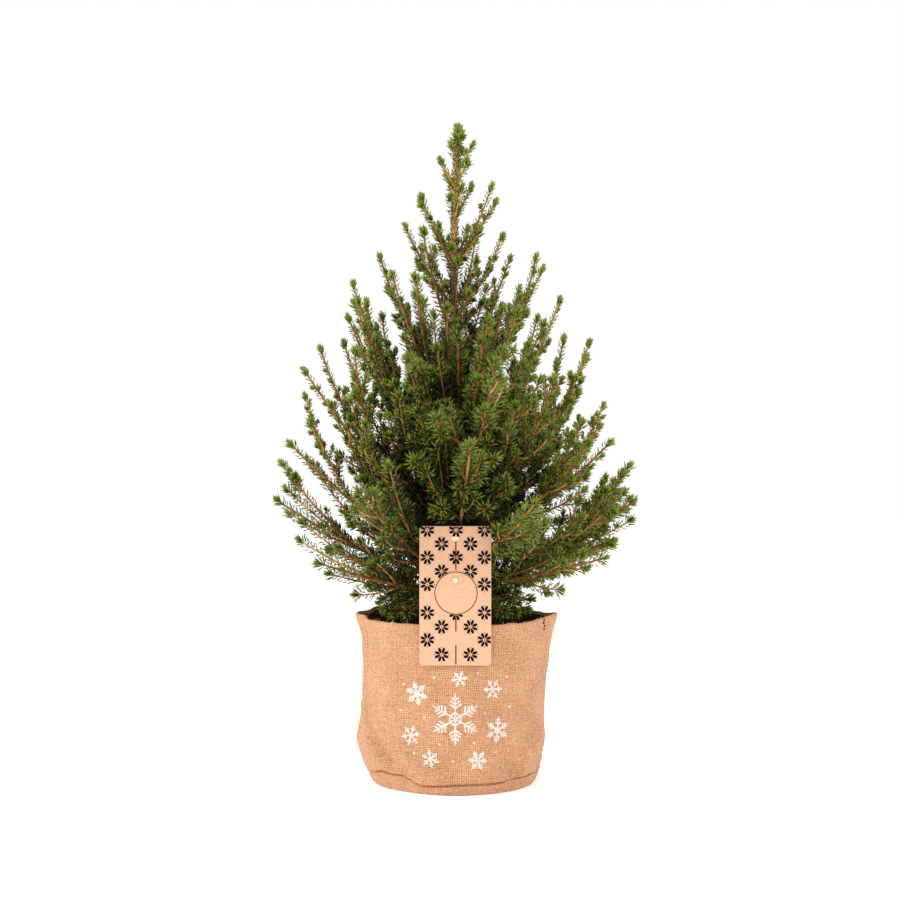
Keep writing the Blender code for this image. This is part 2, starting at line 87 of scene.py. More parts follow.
def circle(angle, *more):
    # the cosine and sine of an angle, then any further coordinates
    return spot(np.cos(angle), np.sin(angle), *more)


def unit(vectors):
    # each vector divided by its length
    return vectors / np.maximum(np.linalg.norm(vectors, axis=-1, keepdims=True), 1e-9)


def valueNoise(points, size, seed):
    # smooth noise from 0 to 1: random numbers at the corners of a lattice, blended by 3t^2 - 2t^3
    cell = points / size
    low = np.floor(cell)
    mix = cell - low
    mix = mix * mix * (3 - 2 * mix)
    total = 0.0
    for corner in range(8):
        offset = np.array([(corner >> axis) & 1 for axis in range(3)])
        weight = np.prod(np.where(offset, mix, 1 - mix), axis=-1)
        total = total + weight * chance(*np.moveaxis(low + offset, -1, 0), seed)
    return total


def gridFaces(rows, columns, closed, looped=False):
    # quads of a grid of points; closed joins the last column to the first, looped the last row to the first
    row = np.arange(rows if looped else rows - 1)[:, None]
    column = np.arange(columns if closed else columns - 1)[None, :]
    low, high = row * columns, (row + 1) % rows * columns
    after = (column + 1) % columns
    quads = np.stack((low + column, low + after, high + after, high + column), -1)
    return quads.reshape(-1, 4)


def repeatFaces(faces, copies, stride):
    # the same faces again for each copy, its points following the last copy's
    return (faces[None] + (np.arange(copies) * stride)[:, None, None]).reshape(-1, faces.shape[1])


def endCaps(rows, columns):
    # one face over the first row of a tube and one over its last
    ring = np.arange(columns)
    return np.stack((ring[::-1], ring + (rows - 1) * columns))


def pick(table, chosen):
    # the chosen rows of every column of a table
    return {key: value[chosen] for key, value in table.items()}


def join(*tables):
    # several tables end to end, column by column
    return {key: np.concatenate([table[key] for table in tables]) for key in tables[0]}


def addObject(name, data):
    # an object made from its data and put in the scene
    thing = bpy.data.objects.new(name, data)
    bpy.context.scene.collection.objects.link(thing)
    return thing


def makePiece(name, points, faceSets, material, smooth=True, uv=None):
    # one object at the origin from an array of points and arrays of faces, each array of one corner count
    points = np.asarray(points, float).reshape(-1, 3)
    sizes = np.concatenate([np.full(len(faces), faces.shape[1]) for faces in faceSets])
    corners = np.concatenate([faces.ravel() for faces in faceSets]).astype(np.int32)
    starts = np.concatenate(([0], np.cumsum(sizes)[:-1])).astype(np.int32)
    mesh = bpy.data.meshes.new(name)
    mesh.vertices.add(len(points))
    mesh.vertices.foreach_set("co", points.astype(np.float32).ravel())
    mesh.loops.add(len(corners))
    mesh.loops.foreach_set("vertex_index", corners)
    mesh.polygons.add(len(sizes))
    mesh.polygons.foreach_set("loop_start", starts)
    mesh.polygons.foreach_set("use_smooth", np.full(len(sizes), smooth))
    mesh.update(calc_edges=True)
    if uv is not None:
        layer = mesh.uv_layers.new(name="surface")
        layer.data.foreach_set("uv", uv.astype(np.float32).ravel())
    mesh.materials.append(material)
    piece = addObject(name, mesh)
    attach(piece, "root")
    return piece


# Materials


def hexColour(code):
    # sRGB hex to linear: c / 12.92 below 0.04045, else ((c + 0.055) / 1.055) ^ 2.4
    parts = [int(code[place:place + 2], 16) / 255 for place in (1, 3, 5)]
    linear = [part / 12.92 if part <= 0.04045 else ((part + 0.055) / 1.055) ** 2.4 for part in parts]
    return (*linear, 1.0)


def addNode(tree, kind, inputs=None, **settings):
    # a node with its settings, its sockets given a value or linked from another node's output
    node = tree.nodes.new(kind)
    for key, value in settings.items():
        setattr(node, key, value)
    for key, value in (inputs or {}).items():
        if isinstance(value, bpy.types.NodeSocket):
            tree.links.new(value, node.inputs[key])
        else:
            node.inputs[key].default_value = value
    return node


def addMath(tree, operation, *values):
    # the output of one sum; its values are numbers or outputs
    return addNode(tree, "ShaderNodeMath", dict(enumerate(values)), operation=operation).outputs[0]


def addVectorMath(tree, operation, inputs):
    # the same for vectors, with the inputs by their places
    return addNode(tree, "ShaderNodeVectorMath", inputs, operation=operation).outputs[0]


def addNoise(tree, vector, size, detail, roughness=0.5):
    # noise whose largest features are about the size in metres
    inputs = {"Vector": vector, "Scale": 1 / size, "Detail": detail, "Roughness": roughness}
    return addNode(tree, "ShaderNodeTexNoise", inputs).outputs


def addRange(tree, value, source, target):
    # a value carried from one range to another, and held at its ends
    names = ("Value", "From Min", "From Max", "To Min", "To Max")
    inputs = dict(zip(names, (value, *source, *target)))
    return addNode(tree, "ShaderNodeMapRange", inputs).outputs[0]


def addRamp(tree, factor, places, colours):
    # a ramp with one stop for each colour
    ramp = addNode(tree, "ShaderNodeValToRGB", {"Fac": factor})
    stops = ramp.color_ramp.elements
    for _ in colours[2:]:
        stops.new(0.5)
    for number, (place, colour) in enumerate(zip(places, colours)):
        stops[number].position = place
        stops[number].color = hexColour(colour)
    return ramp.outputs["Color"]


def addBump(tree, shader, height, strength, relief):
    # relief in metres from a height that goes 0 to 1
    bump = addNode(tree, "ShaderNodeBump", {"Height": height, "Strength": strength, "Distance": relief})
    tree.links.new(bump.outputs["Normal"], shader.inputs["Normal"])


def newMaterial(name, colour, roughness, specular=0.5):
    # a plain material, with its tree and its shader for what is added to it
    material = bpy.data.materials.new(name)
    material.use_nodes = True
    tree = material.node_tree
    shader = tree.nodes["Principled BSDF"]
    shader.inputs["Base Color"].default_value = hexColour(colour)
    shader.inputs["Roughness"].default_value = roughness
    shader.inputs["Specular IOR Level"].default_value = specular
    return material, tree, shader


def mottledMaterial(name, look):
    # two or three colours by noise of a real size, and a bump of its own size
    colours = look["colours"]
    material, tree, shader = newMaterial(name, colours[0], look["roughness"], look["specular"])
    place = addNode(tree, "ShaderNodeTexCoord").outputs["Object"]
    patches = addNoise(tree, place, look["patch"], 5.0)["Fac"]
    ramp = addRamp(tree, patches, np.linspace(0.36, 0.64, len(colours)), colours)
    tree.links.new(ramp, shader.inputs["Base Color"])
    addBump(tree, shader, addNoise(tree, place, look["grain"], 3.0)["Fac"], look["bump"], look["relief"])
    return material


# Needles: a thin waxy skin, so a soft low gloss over plain greens. Each age of needle is a colour of its own;
# the darker ages, dealt out by depth in the crown, are partly painted shade.
needleLooks = {
    "fresh": ("#6A7A1E", "#7C8E2C"),
    "light": ("#708030", "#869444"),
    "mid": ("#687630", "#7C8A44"),
    "deep": ("#47521B", "#596628"),
    "shade": ("#222B0A", "#323C12"),
}

# Bark of the young shoots: smooth and orange-tan, with fine scales where needles have sat.
barkLooks = {
    "young": {"colours": ("#94602C", "#B88244", "#CE9E60"), "patch": 0.006, "grain": 0.0012},
    "old": {"colours": ("#6C4424", "#8E5C30", "#AA743E"), "patch": 0.008, "grain": 0.0016},
    "trunk": {"colours": ("#4E3524", "#6E4C31", "#8A6340"), "patch": 0.010, "grain": 0.0020},
}
for look in barkLooks.values():
    look.update(roughness=0.72, specular=0.12, bump=0.6, relief=0.0004)


def needleMaterial(name, colours):
    # two near greens in long patches, with a faint grain
    look = {"colours": colours, "patch": 0.012, "grain": 0.002, "roughness": 0.38, "specular": 0.22}
    look.update(bump=0.15, relief=0.0002)
    return mottledMaterial(name, look)


needleMaterials = {age: needleMaterial(f"waxy_needle_{age}", pair) for age, pair in needleLooks.items()}
barkMaterials = {age: mottledMaterial(f"spruce_bark_{age}", look) for age, look in barkLooks.items()}
print("needle and bark materials made")


# Trunk and limbs, by the rule of the part's source

trunk = {
    "foot": 0.1503, "top": 0.5850, "leaderTop": 0.6540, "lean": 0.0030, "sway": 0.0045, "depthSway": 0.0020,
    "tipRadius": 0.0014, "swell": 0.0062, "taperPower": 1.1,
    "flare": 0.0040, "flareHeight": 0.0090, "flareLobes": 5, "flareLobeDepth": 0.15,
    "rows": 300, "columns": 40, "crowding": 1.3,
    # bark: its scales are stretched along the trunk, over a finer grain, and fade within a length of the top
    "scaleRelief": 0.00055, "scaleSize": 0.0035, "scaleStretch": 0.45, "grainSize": 0.0012, "fadeLength": 0.2,
}

limbRule = {
    # tip height, reach, height on the trunk, first bearing, places round the trunk
    "tiers": (
        (0.226, 0.150, 0.172, 30, 6),
        (0.282, 0.175, 0.184, 0, 6),
        (0.338, 0.160, 0.208, 54, 5),
        (0.398, 0.143, 0.246, 18, 4),
        (0.452, 0.112, 0.298, 40, 3),
        (0.500, 0.090, 0.358, 350, 3),
        (0.545, 0.052, 0.440, 60, 2),
        (0.583, 0.037, 0.512, 340, 2),
    ),
    # low limbs keep out of a sector round the label's bearing
    "labelBearing": 270, "labelSector": 20, "labelTiersBelow": 0.300,
    "spiralRise": 0.004, "bearingSpread": 7.0, "reachSpread": 0.05, "tipSpread": 0.008,
    "bendAlong": 0.52, "bendUp": 0.30,
    "rootRadius": 0.0034, "tipRadius": 0.0010, "taperPower": 0.7, "thinning": 0.45,
    "first": 0.01, "rings": 64, "sides": 12, "relief": 0.00025,
}

# outline of the crown in millimetres: height and reach from its axis
crownOutline = (
    (150, 80), (172, 90), (200, 124), (236, 160), (277, 181), (311, 177), (345, 162), (380, 151),
    (433, 141), (476, 109), (517, 83), (550, 52), (586, 41), (616, 19), (656, 10),
)
crownHeights, crownReaches = np.array(crownOutline).T / 1000


def trunkAxis(height):
    # x leans with height and sways by sin(pi s); y sways by sin(pi s)
    share = (height - trunk["foot"]) / (trunk["leaderTop"] - trunk["foot"])
    x = trunk["lean"] * share - trunk["sway"] * np.sin(np.pi * share)
    y = -trunk["depthSway"] * np.sin(np.pi * share)
    return spot(x, y, height)


def trunkRadius(height, bearing):
    # a power taper, and a flare exp(-h / flareHeight) that is wider on its lobes
    share = np.clip((height - trunk["foot"]) / (trunk["top"] - trunk["foot"]), 0, 1)
    taper = trunk["tipRadius"] + trunk["swell"] * (1 - share) ** trunk["taperPower"]
    lobe = 1 - trunk["flareLobeDepth"] * (1 - np.cos(trunk["flareLobes"] * bearing))
    return taper + trunk["flare"] * lobe * np.exp(-(height - trunk["foot"]) / trunk["flareHeight"])


def planLimbs():
    # start, bend and tip of each limb's curve, with its bearing and thickness
    rule = limbRule
    rows = []
    for tipHeight, reach, leave, first, places in rule["tiers"]:
        for place in range(places):
            plain = first + 360 * place / places
            offLabel = abs((plain - rule["labelBearing"] + 180) % 360 - 180)
            if offLabel >= rule["labelSector"] or tipHeight > rule["labelTiersBelow"]:
                rows.append((tipHeight, reach, leave + rule["spiralRise"] * place, plain))
    tipHeight, reach, leave, plain = np.array(rows).T
    number = np.arange(len(rows))
    bearing = np.radians(plain + rule["bearingSpread"] * (2 * chance(number, 1) - 1))
    reach = reach * (1 + rule["reachSpread"] * (2 * chance(number, 2) - 1))
    tipHeight = tipHeight + rule["tipSpread"] * (2 * chance(number, 3) - 1)
    out = circle(bearing, 0 * bearing)
    start = trunkAxis(leave)
    rise = (tipHeight - leave)[:, None] * upward
    bend = start + out * (reach * rule["bendAlong"])[:, None] + rise * rule["bendUp"]
    tip = out * reach[:, None] + tipHeight[:, None] * upward
    thin = 1 - rule["thinning"] * (leave - trunk["foot"]) / (trunk["top"] - trunk["foot"])
    return dict(start=start, bend=bend, tip=tip, number=number * 1.0, bearing=bearing, thin=thin)


def curveParts(shoots, share, chosen):
    # shares with room for coordinates, then the three points of each curve in the same shape
    s = share[..., None]
    shape = (len(s),) + (1,) * (s.ndim - 2) + (3,)
    return s, *(shoots[key][chosen].reshape(shape) for key in ("start", "bend", "tip"))


def alongCurve(shoots, share, chosen=slice(None)):
    # (1 - s)^2 start + 2 s (1 - s) bend + s^2 tip; share is one number or a row of them for each shoot
    s, start, bend, tip = curveParts(shoots, share, chosen)
    return (1 - s) ** 2 * start + 2 * s * (1 - s) * bend + s ** 2 * tip


def curveWay(shoots, share, chosen=slice(None)):
    # the curve's own direction: 2 (1 - s) (bend - start) + 2 s (tip - bend), made one long
    s, start, bend, tip = curveParts(shoots, share, chosen)
    return unit((1 - s) * (bend - start) + s * (tip - bend))


def evenShares(shoots, low, high, count):
    # the same even shares for every shoot
    return np.broadcast_to(np.linspace(low, high, count), (len(shoots["start"]), count))


def sideFrame(way):
    # two directions square to the way and to each other
    guide = np.where(np.abs(way[..., 2:]) > 0.97, (0.0, 1.0, 0.0), upward)
    across = unit(np.cross(guide, way))
    return across, np.cross(way, across)


def spokesRound(way, sides):
    # directions square to the way and evenly round it: across cos a + over sin a
    across, over = sideFrame(way)
    angle = 2 * np.pi * np.arange(sides) / sides
    return across[..., None, :] * np.cos(angle)[:, None] + over[..., None, :] * np.sin(angle)[:, None]


def makeTubes(shoots, radius, rings, sides, relief=0.0, seed=0, first=0.0):
    # round tubes along every shoot's curve, their skin moved in and out by noise
    count = len(shoots["start"])
    share = evenShares(shoots, 0, 1, rings) * (1 - first) + first
    spoke = spokesRound(curveWay(shoots, share), sides)
    skin = alongCurve(shoots, share)[:, :, None] + spoke * radius(share)[:, :, None, None]
    if relief:
        bumps = valueNoise(skin, 0.0022, seed) + 0.5 * valueNoise(skin, 0.0009, seed + 1) - 0.75
        skin = skin + spoke * (relief * bumps)[..., None]
    faces = (gridFaces(rings, sides, True), endCaps(rings, sides))
    return skin.reshape(-1, 3), [repeatFaces(some, count, rings * sides) for some in faces]


def makeTrunk():
    # rows crowd towards the flare; the skin moves by |noise| scales + a finer grain, and less near the top
    rows, columns = trunk["rows"], trunk["columns"]
    crowded = np.linspace(0, 1, rows)[:, None] ** trunk["crowding"]
    height = between(trunk["foot"] - 0.0002, trunk["top"], crowded)
    bearing = (2 * np.pi * np.arange(columns) / columns)[None, :]
    out = circle(bearing, 0 * height)
    height = np.broadcast_to(height, out.shape[:2])
    skin = trunkAxis(height) + out * trunkRadius(height, bearing)[..., None]
    stretched = skin * (1.0, 1.0, trunk["scaleStretch"])
    scales = np.abs(valueNoise(stretched, trunk["scaleSize"], 3) - 0.5) * 2
    grain = valueNoise(skin, trunk["grainSize"], 4) - 0.5
    fade = np.clip((trunk["top"] - height) / trunk["fadeLength"], 0.25, 1)
    skin = skin + out * (fade * trunk["scaleRelief"] * (scales + 0.5 * grain - 0.4))[..., None]
    faces = [gridFaces(rows, columns, True), endCaps(rows, columns)]
    piece = makePiece("trunkBark", skin, faces, barkMaterials["trunk"])
    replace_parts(piece, "trunk")


limbs = planLimbs()
makeTrunk()


def limbThickness(share):
    # a power taper from root to tip, less for limbs high on the trunk
    rule = limbRule
    full = rule["rootRadius"] + (rule["tipRadius"] - rule["rootRadius"]) * share ** rule["taperPower"]
    return full * limbs["thin"][:, None]


limbSkin, limbFaces = makeTubes(
    limbs, limbThickness, limbRule["rings"], limbRule["sides"], limbRule["relief"], 7, limbRule["first"]
)
boughPiece = makePiece("boughBark", limbSkin, limbFaces, barkMaterials["old"])
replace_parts(boughPiece, *[name for name in nodes if name.startswith("bough")])
print("trunk and", len(limbs["start"]), "limbs made")


# Shoots

label = {
    "low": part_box("label_card")[0],
    "high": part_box("label_card")[1],
    "stakeBack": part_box("label_stake")[1].y,
    "clearance": 0.0015,
    "overlap": 0.0050,
}
rim = {"height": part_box("sack")[1].z, "mouth": 0.079, "soil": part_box("soil")[1].z}


def hitsThings(points, overlap=-0.003):
    # true where a point is inside the label, its stake, the sack's rim or the soil, or in front of the label
    x, y, z = np.moveaxis(points, -1, 0)
    gap = label["clearance"]
    low, high = label["low"], label["high"]
    card = (x > low.x - gap) & (x < high.x + gap) & (y < high.y + gap) & (z < high.z - overlap)
    stake = (np.abs(x) < 0.007) & (y < label["stakeBack"] + 0.002) & (z < high.z)
    reach = np.hypot(x, y)
    overRim = (z < rim["height"] + 0.003) & (reach > rim["mouth"])
    return card | stake | overRim | (z < rim["soil"] + 0.006)


def outlineDepth(points):
    # metres from a point outwards to the crown's outline, which is a little flattened from front to back
    x, y, z = np.moveaxis(points, -1, 0)
    return np.interp(z, crownHeights, crownReaches) - np.hypot(x, 1.03 * y)


def insideCrown(points):
    # true within the outline
    return outlineDepth(points) >= 0


def curveLength(shoots):
    # the length of each curve as eight straight steps
    steps = alongCurve(shoots, evenShares(shoots, 0, 1, 9))
    return np.linalg.norm(np.diff(steps, axis=1), axis=-1).sum(1)


def countOff(counts):
    # for every one of the counted things, the shoot it is on and its order there
    shoot = np.repeat(np.arange(len(counts)), counts)
    return shoot, np.arange(counts.sum()) - np.repeat(np.cumsum(counts) - counts, counts)


def spreadPlaces(lengths, spacing):
    # places at a spacing along each shoot: the shoot of each, its order and its share
    counts = np.maximum(np.round(lengths / spacing), 1).astype(int)
    shoot, order = countOff(counts)
    return shoot, order, (order + 0.5) / counts[shoot]


def lushness(shoots):
    # 0 at the two sides of the crown, 1 at its front and back; low shoots are lusher all round
    low = np.interp(shoots["tip"][:, 2], (0.24, 0.36), (0.55, 0.0))
    return 1 - (0.5 + 0.5 * np.cos(2 * shoots["bearing"])) * (1 - low)


def growShoots(parents, plan):
    # side shoots at a golden-angle turn round each parent; each leaves at an angle and bends upwards
    lengths = curveLength(parents) * (plan["last"] - plan["first"])
    parent, order, place = spreadPlaces(lengths, plan["spacing"])
    number, seed = parents["number"][parent], plan["seed"]
    jitter = plan["jitter"] * (chance(number, order, seed) - 0.5) * plan["spacing"] / lengths[parent]
    share = between(plan["first"], plan["last"], (place + jitter).clip(0, 1))
    root, way = alongCurve(parents, share, parent), curveWay(parents, share, parent)
    across, over = sideFrame(way)
    turn = np.radians(goldenAngle * order + 360 * chance(number, seed))[:, None]
    out = across * np.cos(turn) + over * np.sin(turn)
    angle = between(*plan["angles"], share) + plan["wobble"] * (chance(number, order, seed, 2) - 0.5)
    angle = np.radians(angle)[:, None]
    heading = way * np.cos(angle) + out * np.sin(angle)
    upturn = plan["upturn"] * np.interp(root[:, 2], *plan["lowUpturn"])[:, None]
    later = unit(heading * plan["firstWay"] + way * plan["follow"] + upward * upturn)
    left = np.linalg.norm(parents["tip"][parent] - root, axis=-1)
    length = np.minimum(plan["longest"], plan["least"] + plan["share"] * left)
    length = length * between(*plan["range"], chance(number, order, seed, 1))
    upper = np.interp(root[:, 2], plan["thinFrom"], (0.0, 1.0))
    length = length * (1 - plan["thinned"] * upper)
    # a shoot that would leave the crown or touch something is made shorter, a step at a time
    for _ in range(8):
        bend = root + heading * (plan["bendAt"] * length)[:, None]
        tip = bend + later * ((1 - plan["bendAt"]) * length)[:, None]
        length = np.where(insideCrown(tip) & ~hitsThings(tip), length, length * plan["shorter"])
    shoots = {"start": root, "bend": bend, "tip": tip, "number": number * 3.17 + order + seed}
    shoots["bearing"] = np.arctan2(tip[:, 1], tip[:, 0])
    touches = hitsThings(alongCurve(shoots, evenShares(shoots, 0.2, 1, 6))).any(1)
    free = ~touches & (length > plan["shortest"]) & insideCrown(tip)
    missing = between(*plan["missing"][:2], lushness(shoots)) + plan["missing"][2] * upper
    aside = np.interp(root[:, 0], *plan["sparse"])
    missing = missing + aside * np.interp(root[:, 2], *plan["sparseHeights"])
    return pick(shoots, free & (chance(number, order, seed, 3) > missing))


# first, last and spacing: where on its parent a shoot can leave
# angles: how far it turns off, at the parent's foot and tip
# length: least + share of what is left of the parent, times the range
# missing: the share left out at the sides, at the front and back, and the share added in the upper crown
shootPlan = {
    "jitter": 0.9, "wobble": 14, "firstWay": 0.55, "bendAt": 0.45,
    # between these heights shoots get shorter by a share; a step shorter wherever they don't fit
    "thinFrom": (0.33, 0.43), "thinned": 0.4, "shorter": 0.85,
    # heights, then how much of the upturn shows there
    "lowUpturn": ((0.172, 0.240), (0.15, 1.0)),
    # more are missing here: places across with shares, times heights with shares
    "sparse": ((-0.09, -0.04, 0.05, 0.09), (1.0, 0.0, 0.0, 0.3)),
    "sparseHeights": ((0.26, 0.32), (0.44, 0.34)),
}
lateralPlan = dict(
    shootPlan, seed=40, jitter=0.8, first=0.10, last=0.90, spacing=0.0125, angles=(52, 33), upturn=0.42,
    follow=0.50, least=0.008, share=0.55, longest=0.080, range=(0.45, 1.15), shortest=0.010,
    missing=(0.55, 0.35, 0.28),
)
innerPlan = dict(
    shootPlan, seed=80, first=0.0, last=1.0, spacing=0.0050, angles=(60, 38), upturn=0.45,
    follow=0.40, least=0.030, share=0.10, longest=0.075, range=(0.60, 1.25), shortest=0.012,
    missing=(0.05, 0.00, 0.40),
)
longPlan = dict(
    shootPlan, seed=90, first=0.15, last=0.80, spacing=0.0130, angles=(46, 34), upturn=0.30,
    follow=0.55, least=0.006, share=0.34, longest=0.050, range=(0.50, 1.15), shortest=0.008,
    missing=(0.30, 0.55, 0.10),
)
branchPlan = dict(
    shootPlan, seed=50, first=0.14, last=0.80, spacing=0.0140, angles=(50, 36), upturn=0.35,
    follow=0.40, least=0.004, share=0.46, longest=0.036, range=(0.50, 1.15), shortest=0.008,
    missing=(0.25, 0.60, 0.15),
)
spurPlan = dict(
    shootPlan, seed=60, first=0.12, last=0.94, spacing=0.0062, angles=(60, 44), upturn=0.25,
    follow=0.25, least=0.0040, share=0.10, longest=0.012, range=(0.40, 1.40), shortest=0.0024,
    missing=(0.08, 0.88, 0.14),
)
longRule = {
    # tips of the shoots that stand clear of the rest, in millimetres: across, depth, height
    "clear": (
        (-172, 10, 312), (-139, -30, 312), (-151, 20, 380), (-133, -10, 426), (-107, 20, 460),
        (-100, -15, 490), (-75, 10, 520), (-48, -12, 547), (-34, 12, 575), (39, -4, 573), (47, 14, 541),
        (55, 20, 520), (80, -10, 517), (105, 14, 477), (132, -14, 432), (149, 16, 371), (172, -10, 310),
        (163, -40, 285), (176, 14, 277), (-165, 18, 262), (-152, -12, 237), (106, -30, 435),
        (-88, -35, 445), (-165, -15, 288), (-120, -45, 370), (122, -50, 352), (62, -30, 483),
        (172, -12, 257), (152, 12, 266), (152, -26, 237), (120, -60, 262), (98, -62, 226),
        (-110, -50, 232), (-14, -112, 274), (29, -114, 274), (10, -118, 290), (47, -112, 297),
        (-38, -112, 318), (10, -104, 326), (29, -110, 333), (-35, -92, 362), (56, -90, 367),
        (32, -86, 384), (-42, -80, 400), (21, -78, 402), (70, -50, 428), (-62, -98, 285), (80, -70, 392),
        (-10, -100, 350), (-124, 8, 203), (2, -75, 440), (31, -70, 437), (-21, -60, 455), (12, -50, 478),
        (-35, -45, 472), (46, -50, 462), (3, -34, 510), (-68, -20, 170), (-58, -38, 167), (-72, 8, 176),
        (57, -36, 169), (70, -12, 171), (74, 12, 178), (-45, -52, 170), (46, -54, 171),
    ),
    # tips that fill the back of the crown
    "behind": (
        (12, 112, 290), (-20, 108, 318), (40, 106, 300), (16, 100, 345), (-46, 100, 285), (2, 114, 262),
        (32, 110, 272), (85, 72, 360), (72, 86, 326), (-30, 88, 372),
    ),
    # tips that fill the hollow high in its front
    "before": (
        (-17, -82, 423), (-8, -66, 462), (24, -84, 412), (-44, -76, 412), (3, -80, 432), (-30, -78, 405),
    ),
    # the rest of them stand at a golden-angle turn, in and behind the outline
    "count": 125,
    "heights": (0.255, 0.500),
    "reaches": (0.45, 0.93),
    # height of the tip, then how steeply its shoot rises in degrees and how long it is
    "rise": (
        (0.17, -22.0, 0.05), (0.20, 12.0, 0.10), (0.26, 30.0, 0.10), (0.31, 47.0, 0.11), (0.40, 61.0, 0.13),
        (0.50, 67.0, 0.11), (0.58, 52.0, 0.06),
    ),
    # front shoots that point at the viewer: past this depth, within this width, rising this many degrees
    "facingDepth": 0.100,
    "facingWidth": 0.060,
    "facingRise": 10.0,
    "sag": 0.07,
    "sideMissing": 0.70,
}
# side shoots of the leader, in millimetres: across, depth, height of the tip, height where each leaves it
leaderShoots = (
    (6.5, -3, 640.5, 630), (1, -6, 638.5, 628), (-3, -5, 629, 617), (5, 5, 627, 616), (-8, 4, 600, 583),
    (16, -6, 629, 607), (-13, -4, 614, 590), (11, -10, 612, 592), (15, 3, 590, 560), (6, -16, 585, 560),
    (-4, 12, 580, 555), (23, -10, 543, 508), (-16, -16, 540, 505), (12, 20, 550, 515), (-24, 12, 520, 480),
    (20, -30, 510, 470), (-4, -30, 525, 490),
)

leaderFoot, leaderTop = 0.43, trunk["leaderTop"] - 0.0085
innerFoot, innerTop = 0.172, 0.420


def trunkShoot(foot, top, number):
    # the trunk's own line between two heights, as a shoot that others can leave from
    start, middle, tip = (trunkAxis(np.array([height])) for height in (foot, (foot + top) / 2, top))
    bend = 2 * middle - 0.5 * (start + tip)
    return dict(start=start, bend=bend, tip=tip, number=np.array([number]), bearing=np.array([0.0]))


def straightShoots(start, tip, sag, number):
    # nearly straight, a little lower and further out in its middle
    out = unit(tip * (1, 1, 0)) - upward * 0.6
    far = np.linalg.norm(tip - start, axis=-1, keepdims=True)
    bend = start + 0.48 * (tip - start) + out * far * sag
    return dict(start=start, bend=bend, tip=tip, number=number, bearing=np.arctan2(tip[:, 1], tip[:, 0]))


def growLongShoots():
    # from each tip, the place on a limb or the trunk that gives the right length and slope straight outwards
    rule = longRule
    index = np.arange(rule["count"])
    turn = np.radians(goldenAngle * index + 20)
    height = between(*rule["heights"], chance(index, 31))
    reach = between(*rule["reaches"], chance(index, 32) ** 0.7)
    reach = reach * np.interp(height, crownHeights, crownReaches)
    fan = spot(reach * np.cos(turn), reach * np.sin(turn), height)
    fan = fan[chance(index, 33) > rule["sideMissing"] * np.cos(turn) ** 2]
    clear, behind, before = (np.array(rule[key]) / 1000 for key in ("clear", "behind", "before"))
    tips = np.concatenate((clear, fan, behind, before))
    tips = tips[insideCrown(tips * (0.985, 0.985, 1)) & ~hitsThings(tips)]
    stem = trunkAxis(np.linspace(0.19, 0.53, 60))
    places = np.concatenate((alongCurve(limbs, evenShares(limbs, 0.1, 0.8, 36)).reshape(-1, 3), stem))
    gap = tips[:, None] - places[None]
    far = np.linalg.norm(gap, axis=-1)
    out = unit(tips * (1, 1, 0))[:, None]
    aside = np.abs(gap[..., 0] * out[..., 1] - gap[..., 1] * out[..., 0])
    inward = np.maximum(-(gap[..., 0] * out[..., 0] + gap[..., 1] * out[..., 1]), 0)
    heights, rises, lengths = np.array(rule["rise"]).T
    wantedRise = np.radians(np.interp(tips[:, 2], heights, rises))[:, None]
    wantedLength = np.interp(tips[:, 2], heights, lengths)[:, None]
    facing = (tips[:, 1] < -rule["facingDepth"]) & (np.abs(tips[:, 0]) < rule["facingWidth"])
    wantedRise[facing] = math.radians(rule["facingRise"])
    rise = np.arcsin(np.clip(gap[..., 2] / far, -1, 1))
    cost = np.abs(far / wantedLength - 1) + 2.5 * np.abs(rise - wantedRise) + 8 * aside + 30 * inward
    start = places[cost.argmin(1)]
    shoots = straightShoots(start, tips, rule["sag"], 300.0 + np.arange(len(tips)))
    return pick(shoots, ~hitsThings(alongCurve(shoots, evenShares(shoots, 0, 1, 25))).any(1))


def growLeaderShoots():
    # straight shoots from the trunk line to the listed tips
    tips = np.array(leaderShoots) / 1000
    return straightShoots(trunkAxis(tips[:, 3]), tips[:, :3], 0.05, 500.0 + np.arange(len(tips)))


leader = trunkShoot(leaderFoot, leaderTop, 91.0)
longOnes = growLongShoots()
laterals = join(
    longOnes,
    growShoots(longOnes, longPlan),
    growShoots(limbs, lateralPlan),
    growShoots(trunkShoot(innerFoot, innerTop, 77.0), innerPlan),
    growLeaderShoots(),
)
branchlets = growShoots(laterals, branchPlan)
spurs = join(*(growShoots(group, spurPlan) for group in (limbs, laterals, branchlets, leader)))


def evenThickness(root, tip, stout=1.0):
    # a radius that falls evenly from root to tip
    return lambda share: between(root, tip, share) * stout


def makeTwigs(name, shoots, root, tip, rings, sides, material):
    # stouter at the crown's sides than at its front and back, with a bark relief of a share of the radius
    stout = between(1.30, 0.95, lushness(shoots))[:, None]
    skin, faces = makeTubes(shoots, evenThickness(root, tip, stout), rings, sides, 0.22 * root, 17)
    makePiece(name, skin, faces, material)


def dealTwigs(name, shoots, *shape):
    # pale young bark towards the crown's outline, older and darker bark inside, which partly paints the shade
    # deep in the crown
    reach = between(0.100, 0.045, lushness(shoots))
    young = outlineDepth(shoots["start"]) + 0.03 * (chance(shoots["number"], 25) - 0.5) < reach
    for age, chosen in (("young", young), ("old", ~young)):
        makeTwigs(f"{name}_{age}", pick(shoots, chosen), *shape, barkMaterials[age])


makeTwigs("leaderBark", leader, 0.0027, 0.0013, 60, 8, barkMaterials["young"])
dealTwigs("lateralBark", laterals, 0.0013, 0.0007, 9, 6)
dealTwigs("branchletBark", branchlets, 0.0010, 0.0006, 6, 5)
dealTwigs("spurBark", spurs, 0.0007, 0.0005, 4, 4)
print(len(laterals["start"]), "laterals and", len(spurs["start"]), "spurs grown")


# Needles

